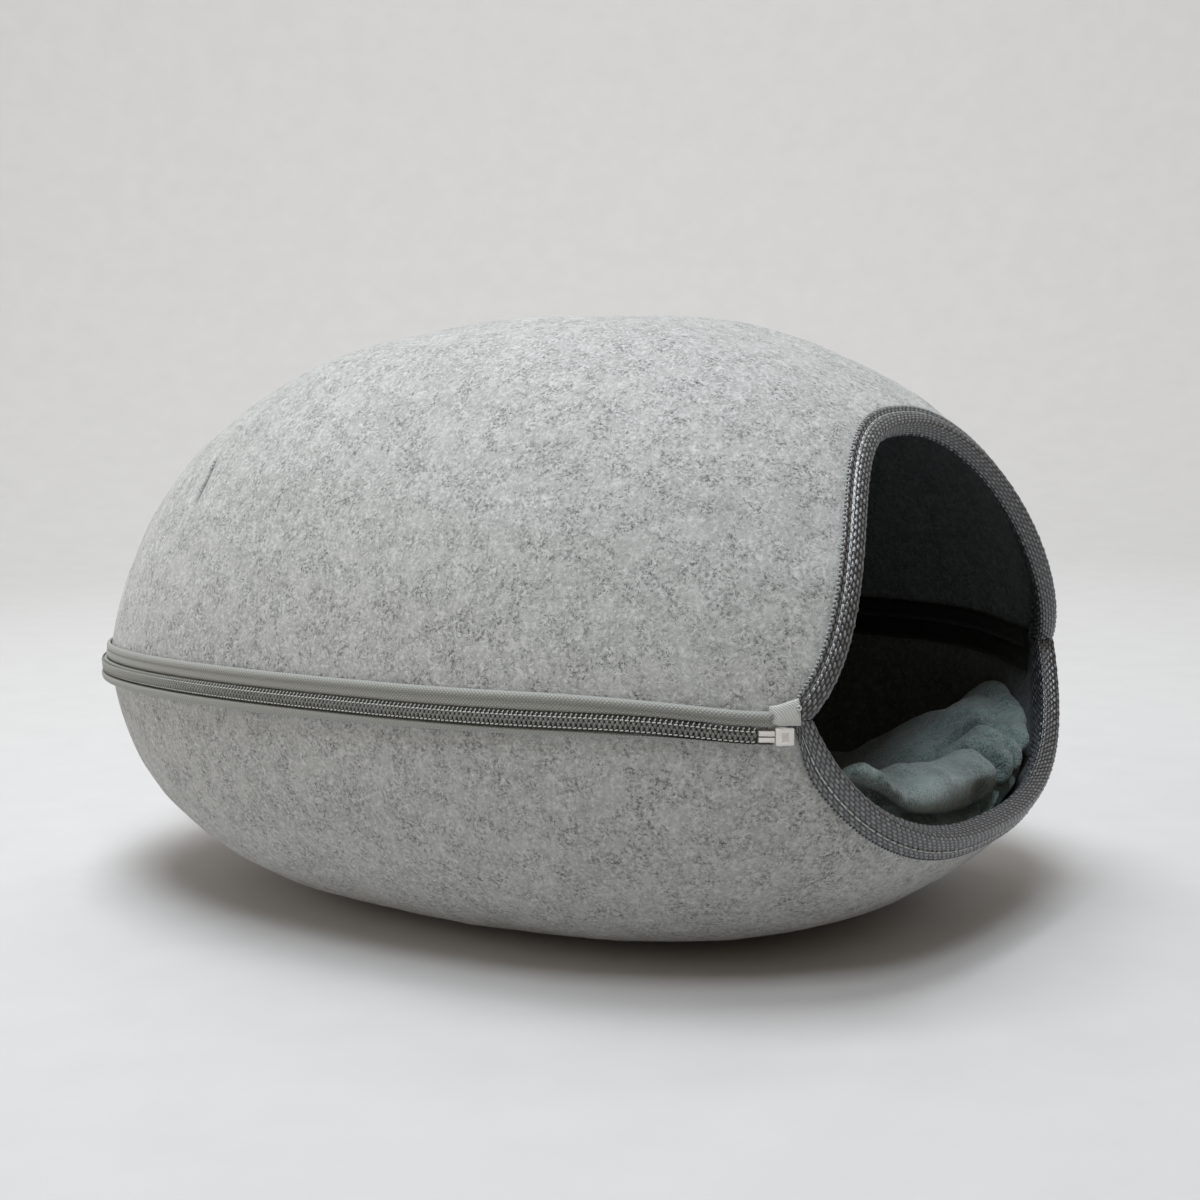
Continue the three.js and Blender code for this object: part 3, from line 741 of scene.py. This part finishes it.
def along_webbing(name, edge, span, pitch, shape, across, lift, lean, material):
    """A row of small rods on the webbing, each turned a little out of the row."""
    unit, faces = grain(*shape)
    at = np.arange(span[0] + pitch, span[1] - pitch, pitch)[:, None]
    forward, sideways = turned(unit, lean)
    points = webbing_point(edge, at + forward, across + sideways, lift + unit[:, 2])
    return make_piece(name, points, copies(faces, len(unit), len(at)), material)


# Zip.

def along_zip(name, section, start, end, steps, material, replaces=(), shift=None, rounds=2):
    """A section, across: off the felt, up: height, carried along the equator."""
    ring = rounded(section, rounds)
    along = np.linspace(start, end, steps)[:, None]
    off, height = (np.broadcast_to(column, (steps, len(ring))) for column in ring.T)
    if shift is not None:
        out, rise = shift(along, height, off)
        off, height = off + out, height + rise
    points = by_wall(along, height, off)
    uv = np.stack(np.broadcast_arrays(along, running_length(ring)), -1)
    return make_piece(name, points, swept_faces(steps, len(ring)), material, replaces, uv=uv,
                      weights={"back": np.broadcast_to(to_the_back(along), off.shape)})


def rods_by_wall(name, at, unit, faces, lean, height, off, material, slot):
    """Copies of one small rod by the wall. The rod's length is turned from along the zip to up."""
    along, up = turned(unit, lean)
    arch = 0.35 * (1 - (up / max(np.abs(up).max(), 1e-6)) ** 2)
    at = np.asarray(at)[:, None]
    points = by_wall(at + along, height + up, off + unit[:, 2] + arch + BACK_LEAN * to_the_back(at))
    return make_piece(name, points, copies(faces, len(unit), len(at)), material,
                      weights={"back": np.broadcast_to(to_the_back(at), points.shape[:2])})


def moulded(name, levels, at, height, node):
    """A moulded fitting on the wall: rounded rectangles lofted outwards. Columns of levels: distance
    off the felt, half length, half height, corner radius, and shift along and up."""
    off, half_run, half_rise, radius, shift, lift = (np.array(c)[:, None] for c in zip(*levels))
    turn = np.repeat(np.arange(4), 6) * np.pi / 2 + np.tile(np.linspace(0, np.pi / 2, 6), 4)
    quarter = np.repeat(np.arange(4), 6)
    side = np.where((quarter == 0) | (quarter == 3), 1, -1)
    top = np.where(quarter < 2, 1, -1)
    along = at + shift + side * (half_run - radius) + radius * np.cos(turn)
    up = height + lift + top * (half_rise - radius) + radius * np.sin(turn)
    points = by_wall(along, up, off)
    faces = swept_faces(len(levels), len(turn))
    piece = make_piece(name, points, faces, PALE_PLASTIC, [node])
    piece.data.set_sharp_from_angle(angle=math.radians(32))


# Cushion.

# Rim of the cushion: angle from the front (far side positive), height of the middle of the rolled edge,
# gap from the bowl's outer face to the edge, and the edge's radius.
CUSHION_RIM = [
    (-3.2, -92, 9, 6), (-1.5, -92, 9, 6), (-1.16, -84, 9, 6), (-0.87, -62, 9, 5), (-0.6, -40, 12, 3.5),
    (-0.5, -30, 17, 2.7), (-0.4, -37, 20, 2.7), (-0.3, -47, 22, 3), (-0.17, -57, 23, 4.5), (0.0, -63, 23, 6),
    (0.14, -69, 20, 7), (0.26, -68, 16, 7.5), (0.39, -57, 10, 8), (0.6, -41, 8, 7), (0.87, -29, 8, 7),
    (0.94, -35, 8.5, 7), (1.01, -56, 9, 6), (1.1, -84, 9, 6), (1.5, -92, 9, 6), (3.2, -92, 9, 6),
]


def smooth_table(at, table, column, reach=0.05):
    """A column of a table, read between its rows and eased over a short reach."""
    rows = np.array(table, float)
    near = np.linspace(-1.5, 1.5, 13)
    share = bump(near, 1.0)
    read = (w * np.interp(at + d * reach, rows[:, 0], rows[:, column]) for d, w in zip(near, share))
    return sum(read) / share.sum()


def cushion_bag(rings=30, slices=240):
    """Slack bag before filling. Each slice from the middle to the edge has a dished top with a full brow
    near the front, a rolled edge (part of a circle) and an underside that lies along the bowl, hollowed
    under the thin edge on the near side."""
    front = np.linspace(-np.pi, np.pi, slices, endpoint=False)
    plan = np.where(front > 0, np.pi - front, -np.pi - front)
    height, gap, radius = (smooth_table(front, CUSHION_RIM, column) for column in (1, 2, 3))
    wall_share = share_at(LOWER, -height)
    middle, normal = skin(LOWER, plan, wall_share, gap + radius)
    out = normal * (1, 1, 0)
    out /= np.linalg.norm(out, axis=-1, keepdims=True)
    share = (1 - (1 - np.arange(1, rings + 1) / rings) ** 1.5)[:, None]
    climb = share ** 4
    full = smoothstep(front, -0.37, -0.2) * (1 - smoothstep(front, 0.45, 0.8))
    past = (share - BROW_AT) / (1 - BROW_AT)
    brow = np.where(past < 0, bump(share - BROW_AT, 0.12), np.sqrt(np.clip(1 - past ** 2, 0, 1)))
    ridge = BROW * smoothstep(front, -0.75, -0.3) * (1 - 0.4 * smoothstep(front, -0.05, 0.3)) * brow
    first = np.pi / 2 * full
    upright = np.array([0, 0, 1])
    start = middle + radius[:, None] * (upright * np.sin(first)[:, None] - out * np.cos(first)[:, None])
    z = climb * start[:, 2] + (1 - climb) * CUSHION_MID + ridge
    top = np.stack(np.broadcast_arrays(share * start[:, 0], share * start[:, 1], z), -1)
    turn = (first + (np.pi - first) * np.linspace(0, 1, 9)[1:-1, None])[:, :, None]
    roll = middle + radius[:, None] * (upright * np.sin(turn) - out * np.cos(turn))
    down = np.linspace(1, 0, rings)[:, None]
    hollow = HOLLOW * smoothstep(1 - down, 0, 0.035) * (1 - smoothstep(1 - down, 0.25, 0.5))
    hollow = hollow * bump(front + 0.46, 0.17)
    lifted = smoothstep(down, 0.84 - 0.32 * bump(front + 0.4, 0.3), 1.0)
    eased = hollow + FELT + CUSHION_CLEAR + (gap - FELT - CUSHION_CLEAR) * lifted
    under, _ = skin(LOWER, plan, np.maximum(down, 0.02) * wall_share, eased)
    points = np.concatenate([top.reshape(-1, 3), roll.reshape(-1, 3), under.reshape(-1, 3),
                             [[0, 0, CUSHION_MID], under[-1].mean(0)]])
    rows = rings + len(turn) + rings
    return points, [grid_faces(rows, slices, True), pole_fans(rows, slices, len(points) - 2, len(points) - 1)]


def off_the_bowl(points, clear):
    """Points drawn in so that they stay clear of the bowl's inner face. The nearest place on the bowl is
    found in a few steps: a place at the point's height, then the foot of the perpendicular from there."""
    floor = -height_at(LOWER, 0.0)
    at = points
    for _ in range(4):
        on, normal = settle(LOWER, np.stack([at[:, 0], at[:, 1], np.clip(at[:, 2], floor + 1, -0.5)], -1))
        past = ((points - on) * normal).sum(-1, keepdims=True)
        at = points - normal * past
    points = points - normal * np.maximum(past + FELT + clear, 0)
    points[:, 2] = np.maximum(points[:, 2], floor + FELT + clear)
    return points


def mesh_points(piece):
    """A piece's points, in metres."""
    co = np.zeros(len(piece.data.vertices) * 3)
    piece.data.vertices.foreach_get("co", co)
    return co.reshape(-1, 3)


def apply_modifier(piece, kind, **settings):
    """Adds a modifier with its settings and applies it at once."""
    modifier = piece.modifiers.new(kind.lower(), kind)
    for key, value in settings.items():
        setattr(modifier, key, value)
    bpy.context.view_layer.objects.active = piece
    bpy.ops.object.modifier_apply(modifier=modifier.name)


def fill_with_wadding(piece, pressure, cap_mm, frames=20):
    """Blows the slack bag up as cloth under pressure, without gravity, and keeps each point within
    its cap of where it was."""
    before = mesh_points(piece)
    cloth = piece.modifiers.new("filling", "CLOTH")
    cloth.settings.use_pressure = True
    cloth.settings.uniform_pressure_force = pressure
    cloth.settings.effector_weights.gravity = 0
    cloth.settings.quality = 5
    cloth.settings.mass = 0.15
    cloth.settings.tension_stiffness = cloth.settings.compression_stiffness = 12
    cloth.settings.bending_stiffness = 0.4
    cloth.collision_settings.use_collision = False
    cloth.point_cache.frame_start, cloth.point_cache.frame_end = 1, frames
    for number in range(1, frames + 1):
        bpy.context.scene.frame_set(number)
    bpy.context.view_layer.objects.active = piece
    bpy.ops.object.modifier_apply(modifier=cloth.name)
    bpy.context.scene.frame_set(1)
    moved = mesh_points(piece) - before
    size = np.linalg.norm(moved, axis=1, keepdims=True)
    kept = before + moved * np.minimum(1, cap_mm[:, None] * MM / np.maximum(size, 1e-9))
    piece.data.vertices.foreach_set("co", kept.ravel())
    piece.data.update()


def front_angle(points):
    """Angle of points from the pod's front round its plan, positive on the far side, and their share
    of the way from the middle to the wall."""
    x, y = points[:, 0] / HALF_WIDTH, points[:, 1] / FRONT_LENGTH
    plan = np.arctan2(signed_power(x, PLAN_POWER / 2), -signed_power(y, PLAN_POWER / 2))
    return plan, (np.abs(x) ** PLAN_POWER + np.abs(y) ** PLAN_POWER) ** (1 / PLAN_POWER)


# Creases where the cover is gathered at the far front: angle from the front, depth and width.
GATHERS = [(0.16, 1.2, 0.03), (0.28, 8.0, 0.016), (0.37, 7.0, 0.016), (0.47, 6.0, 0.018), (0.58, 2.5, 0.02)]


def gathers(points, normals):
    """Folds of the filled cover: a seam drawn in under the front edge, creases that run in from it where
    the cloth is gathered, and soft dents over the rest."""
    front, share = front_angle(points)
    at_front = bump(front - 0.05, 0.5)
    seam = smooth_table(front, CUSHION_RIM, 1) - 3
    lift = -7.0 * at_front * bump(points[:, 2] - seam, 2.6) * smoothstep(share, 0.6, 0.8)
    near_edge = smoothstep(share, 0.58, 0.86)
    for angle, depth, width in GATHERS:
        below = np.minimum(points[:, 2] - seam, 0)
        wander = 0.008 * np.sin(points[:, 2] / 6 + 40 * angle) + 0.01 * np.sin(31 * share + 70 * angle)
        bend = angle + 0.3 * (0.9 - share) + 0.006 * below + wander
        drawn = near_edge * depth * (0.7 + 0.3 * np.sin(points[:, 2] / 4.5 + 90 * angle))
        lift += drawn * (0.14 * bump(front - bend - 2.6 * width, 2.4 * width) - bump(front - bend, width))
    lift += 1.1 * swells(points, 46, 21) + 0.5 * swells(points, 17, 22)
    return points + normals * lift[:, None]


def fleece_cushion():
    """The slack bag, remeshed, filled with wadding, smoothed by one subdivision, and its gathers."""
    points, faces = cushion_bag()
    piece = make_piece("fleece_cushion", points, faces, FLEECE, ["cushion"])
    apply_modifier(piece, "REMESH", mode="VOXEL", voxel_size=CUSHION_VOXEL * MM, use_smooth_shade=True)
    front, share = front_angle(from_frame(mesh_points(piece)))
    thin_edge = bump(front + 0.47, 0.16) * smoothstep(share, 0.6, 0.75)
    fill_with_wadding(piece, FILL_PRESSURE, FILL_CAP - 4.6 * thin_edge)
    apply_modifier(piece, "SUBSURF", levels=1, render_levels=1)
    normals = np.zeros(len(piece.data.vertices) * 3)
    piece.data.vertices.foreach_get("normal", normals)
    points = from_frame(mesh_points(piece))
    points = off_the_bowl(gathers(points, normals.reshape(-1, 3)), CUSHION_CLEAR)
    piece.data.vertices.foreach_set("co", in_frame(points).ravel())
    piece.data.polygons.foreach_set("use_smooth", np.ones(len(piece.data.polygons), bool))
    piece.data.update()


# The pod is put together.

upper_mouth, lower_mouth = mouth_edge(UPPER), mouth_edge(LOWER)
upper_felt = felt_shell("upper_felt", upper_mouth, "upper_shell", 3)
lower_felt = felt_shell("lower_felt", lower_mouth, "lower_shell", 9)

# Webbing of each shell: the seam's distance from its edge, then for the selvedge and the stitching the pitch,
# the rod (length, radius, sides, rings), distance across, lift and lean, and the yarn.
for side, edge, seam, selvedge, stitching in (
    ("upper", upper_mouth, 3.0, (2.0, (1.9, 0.55, 6, 5), -0.1, -0.35, 0.9, SELVEDGE_YARN),
     (4.6, (4.0, 0.2, 6, 5), 3.0, -0.75, 0.0, SEWING_THREAD)),
    # The lower selvedge has no float weight, so it takes the webbing's near-black painted gap shade.
    ("lower", lower_mouth, 3.6, (2.0, (1.7, 0.45, 6, 5), 0.0, -0.5, 0.9, WEBBING_YARN),
     (4.6, (3.7, 0.26, 6, 5), 3.6, -0.3, 0.0, SEWING_THREAD)),
):
    webbing, span, flat = bound_edge(f"{side}_webbing", edge, f"{side}_binding", seam)
    rows = [along_webbing(f"{side}_selvedge", edge, span, *selvedge),
            along_webbing(f"{side}_stitching", edge, span, *stitching)]

# Sections of the zip: distance off the felt and height over the zip's middle.
ROLLED_TAPE = [[0.7, 3.9], [2.3, 3.9], [2.5, 8], [3.6, 8.2], [4.3, 9.3], [4.1, 10.6], [3, 11.3], [1.5, 11.3],
               [0.7, 10.6], [0.9, 8.3], [0.9, 6]]
FLAP = [[0.7, 5], [2.3, 5], [2.5, 12], [0.7, 12]]
LOWER_TAPE = [[0.6, -7.4], [1.7, -7.6], [2.6, -6.6], [2.6, -3.6], [0.6, -3.6]]
CHAIN_BASE = [[0.6, -3.1], [2.3, -3.1], [2.5, 0], [2.3, 3.1], [0.6, 3.1], [0.8, 0]]
tape_end, chain_end = EQUATOR - TAPE_END, EQUATOR - CHAIN_END
slider_at = EQUATOR - SLIDER_AT


def over_webbing(along, height, off):
    """Lifts the folded end of the tape over the webbing and spreads it."""
    past = (TAPE_START + 1 - along) / 11.5
    return 2.4 * smoothstep(past, 0, 0.3), past * np.where(height > 8, 3.2, -0.6)


def flatter_at_back(along, height, off):
    """The rolled edge of the upper tape lies flatter at the back, where the felt leans in, and lower by
    the near corner."""
    roll = smoothstep(height, 6, 9)
    out = -0.59 * to_the_back(along) * roll * np.maximum(off - 0.9, 0)
    return out, -1.2 * (1 - smoothstep(along, 60, 115)) * roll


def rolled_at_back(along, height, off):
    """The lower tape is rolled thicker towards the back, and its free edge is tucked up behind the coil
    by the near corner."""
    out = BACK_ROLL * to_the_back(along) * smoothstep(off, 0.9, 1.6)
    tuck = 2.0 * (1 - smoothstep(along, 30, 110)) + 1.4 * (1 - smoothstep(along, 110, 260))
    return out, tuck * smoothstep(-height, 3.8, 6.5)


def out_at_back(along, height, off):
    """The coil stands further out at the back."""
    return BACK_LEAN * to_the_back(along) * smoothstep(off, 0.9, 1.6), 0


upper_tape = along_zip("upper_tape", ROLLED_TAPE, TAPE_START, tape_end, ZIP_STEPS, TAPE_CLOTH,
                       ["upper_zip_tape"], flatter_at_back)
tape_flap = along_zip("tape_flap", FLAP, TAPE_START + 1, TAPE_START - 10.5, 14, FLAP_CLOTH,
                      shift=over_webbing)
lower_tape = along_zip("lower_tape", LOWER_TAPE, TAPE_START, tape_end, ZIP_STEPS, TAPE_CLOTH,
                       ["lower_zip_tape"], rolled_at_back)
along_zip("coil_core", CHAIN_BASE, CHAIN_START, chain_end, ZIP_STEPS, COIL_CORE,
          ["zip_chain"], out_at_back)
teeth_at = np.arange(CHAIN_START + 1, chain_end - 1, TOOTH_PITCH)
tooth = grain(2.5, 0.72, 6, 7)
stitch, back_stitch = grain(1.6, 0.34, 6, 5), grain(1.4, 0.28, 6, 5)
for name, shift, slant in (("upper_coil", 0, -1), ("lower_coil", TOOTH_PITCH / 2, 1)):
    lean, height = math.pi / 2 + 0.16 * slant, -0.75 * slant
    rods_by_wall(name, teeth_at + shift, *tooth, lean, height, 2.45, COIL_NYLON, "zip_coil")
upper_sewing, back_sewing, lower_sewing = (
    rods_by_wall(name, teeth_at + shift, *rod, lean, height, off, ZIP_THREAD, "zip_tape")
    for name, shift, rod, lean, height, off in (
        ("upper_zip_stitching", 0.5, stitch, -0.2, 2.05, 2.9),
        ("upper_back_stitching", 0, back_stitch, 2.2, 3.05, 2.5),
        ("lower_zip_stitching", 0.6, stitch, -0.2, -2.15, 2.8),
    )
)


def loose_thread(at, height, off, loop, radius):
    """An end of sewing thread left by the flap: a small open ring of round thread."""
    turn = np.linspace(0.4, 5.8, 17)[:, None]
    around = np.linspace(0, 2 * np.pi, 6, endpoint=False)
    reach = loop + radius * np.cos(around)
    points = by_wall(at + reach * np.cos(turn), height + reach * np.sin(turn), off + radius * np.sin(around))
    return make_piece("loose_thread", points, swept_faces(len(turn), len(around)), SEWING_THREAD)


loose_thread(6.0, 11.6, 5.4, 0.85, 0.28)

# Levels of a fitting: off the felt, half length, half height, corner radius, shift along, shift up.
BOX_LEVELS = [
    (0.7, 3.3, 3.2, 0.5, 0, 0), (1.0, 3.6, 3.5, 0.6, 0, 0), (3.7, 3.6, 3.5, 0.6, 0, 0),
    (4.2, 3.4, 3.3, 0.5, 0, 0), (4.3, 3.1, 3.0, 0.4, 0, 0), (4.3, 1.4, 2.1, 0.2, -0.1, -0.2),
    (3.0, 1.2, 1.9, 0.15, -0.1, -0.2),
]
PIN_LEVELS = [
    (1.0, 3.1, 0.9, 0.3, 0, 0), (1.2, 3.2, 1.0, 0.3, 0, 0), (2.9, 3.2, 1.0, 0.3, 0, 0),
    (3.3, 3.0, 0.8, 0.3, 0, 0), (3.4, 2.7, 0.6, 0.3, 0, 0),
]
SLIDER_LEVELS = [
    (3.2, 5.4, 3.6, 1.4, 0, 0), (3.4, 6.0, 4.2, 1.8, 0, 0), (4.2, 6.0, 4.3, 1.8, 0, 0),
    (4.7, 5.4, 3.8, 1.6, 0, 0), (5.0, 4.4, 1.6, 0.9, 0, 0), (6.3, 4.0, 1.3, 0.8, 0, 0),
    (6.8, 3.4, 0.9, 0.6, 0, 0),
]
PULL_LEVELS = [
    (8.2, 2.7, 10.6, 1.2, 0, 0), (8.5, 3.1, 11, 1.5, 0, 0), (9.2, 3.1, 11, 1.5, 0, 0),
    (9.5, 2.8, 10.7, 1.3, 0, 0), (9.5, 2.0, 9.0, 0.9, 0, -0.6), (9.25, 1.8, 8.7, 0.8, 0, -0.6),
]
for name, levels, at, height, node in (
    ("end_box", BOX_LEVELS, BOX_AT, 0, "zip_box"),
    ("upper_pin", PIN_LEVELS, PIN_AT, 1.25, "zip_pin_upper"),
    ("lower_pin", PIN_LEVELS, PIN_AT, -1.25, "zip_pin_lower"),
    ("slider", SLIDER_LEVELS, slider_at, 0, "zip_slider"),
    ("pull_tab", PULL_LEVELS, slider_at, -9, "zip_pull"),
):
    moulded(name, levels, at, height, node)

UPPER_SEAM_TAPE = [[-7.3, 0.2], [-6.1, 0.2], [-6.1, 10], [-7.3, 10]]
LOWER_SEAM_TAPE = [[-7.3, -11], [-6.1, -11], [-6.1, -0.2], [-7.3, -0.2]]
seam_tape_end = EQUATOR - SEAM_TAPE_START
for side, section in (("upper", UPPER_SEAM_TAPE), ("lower", LOWER_SEAM_TAPE)):
    tape = along_zip(f"{side}_seam_tape_cloth", section, SEAM_TAPE_START, seam_tape_end, 220, SEAM_CLOTH,
                     [f"{side}_seam_tape"], rounds=1)

fleece_cushion()


# Camera, floor and light.

CAMERA_AZIMUTH, CAMERA_ELEVATION, CAMERA_ROLL = -54.294, 6.889, -1.667
CAMERA_DISTANCE, CAMERA_LENS = 963.8, 57.44
CAMERA_TARGET = (0, -10.7, 24.9)


def photo_camera():
    """The camera at the photograph's angle: set back from the target along azimuth and elevation, and
    rolled a little about its own axis."""
    az, el, roll = (math.radians(v) for v in (CAMERA_AZIMUTH, CAMERA_ELEVATION, CAMERA_ROLL))
    back = Vector((math.sin(az) * math.cos(el), -math.cos(az) * math.cos(el), math.sin(el)))
    right = Vector((0, 0, 1)).cross(back).normalized()
    up = back.cross(right)
    turned_right = right * math.cos(roll) + up * math.sin(roll)
    turned_up = up * math.cos(roll) - right * math.sin(roll)
    data = bpy.data.cameras.new("camera")
    data.lens, data.sensor_width = CAMERA_LENS, 36
    data.clip_start, data.clip_end = 0.05, 50
    camera = bpy.data.objects.new("camera", data)
    bpy.context.scene.collection.objects.link(camera)
    camera.matrix_world = Matrix((turned_right, turned_up, back)).transposed().to_4x4()
    camera.location = Vector(in_frame(CAMERA_TARGET)[0]) + back * CAMERA_DISTANCE * MM
    bpy.context.scene.camera = camera


def studio():
    """A pale floor, a flat disc, and behind the pod a wall that it curves up into: a profile of a quarter
    of a circle and an upright, turned about the middle."""
    flat, bend, wall = 1.7, 1.1, 3.0
    paper = mottled("pale floor paper, rolled", "#cccccc", "#c9c9c9", 40, 0.02, Roughness=0.8)
    arc = np.linspace(0, np.pi / 2, 17)
    disc = np.array([[0.001, 0], [0.4, 0], [0.9, 0], [1.3, 0], [flat, 0]])
    curve = np.stack([flat + bend * np.sin(arc), bend * (1 - np.cos(arc))], -1)
    sweep = np.concatenate([curve, [[flat + bend, wall]]])
    full = np.linspace(0, 2 * np.pi, 96, endpoint=False)
    behind = np.round((full[full < math.radians(150)] - 0.72) / full[1]) * full[1]
    for name, profile, turn, closed in (
        ("studio_floor", disc, full, True),
        ("studio_wall", sweep, behind, False),
    ):
        radius, height = profile[:, :1], profile[:, 1:]
        points = np.stack(np.broadcast_arrays(radius * np.cos(turn), radius * np.sin(turn), height), -1)
        mesh = bpy.data.meshes.new(name)
        faces = grid_faces(len(profile), len(turn), closed)
        mesh.from_pydata(points.reshape(-1, 3).tolist(), [], faces.tolist())
        mesh.polygons.foreach_set("use_smooth", np.ones(len(mesh.polygons), bool))
        mesh.materials.append(paper)
        piece = bpy.data.objects.new(name, mesh)
        bpy.context.scene.collection.objects.link(piece)


def soft_light(name, place, aim, size, watts, colour="#ffffff"):
    """A square area light that faces a point."""
    data = bpy.data.lights.new(name, "AREA")
    data.size, data.energy, data.color = size, watts, linear(colour)[:3]
    light = bpy.data.objects.new(name, data)
    light.location = place
    light.rotation_euler = (Vector(place) - Vector(aim)).to_track_quat("Z", "Y").to_euler()
    bpy.context.scene.collection.objects.link(light)


photo_camera()
studio()
soft_light("overhead", (-0.25, 0.2, 2.35), (0, 0, 0.1), 1.1, 39, "#f3f9ff")
soft_light("over the camera", (-1.15, -0.85, 2.75), (0, 0, 0.1), 0.9, 31, "#eff6ff")
soft_light("left", (-1.3, 1.7, 0.7), (0, 0, 0.1), 1.2, 8.5, "#fff6ee")
soft_light("wall", (0.9, 0.65, 2.3), (2.3, 1.65, 0.5), 1.6, 27)
world = bpy.data.worlds.new("studio")
world.use_nodes = True
world.node_tree.nodes["Background"].inputs["Color"].default_value = linear("#ffe9cd")
world.node_tree.nodes["Background"].inputs["Strength"].default_value = 0.21
bpy.context.scene.world = world
bpy.context.scene.view_settings.view_transform = "Standard"
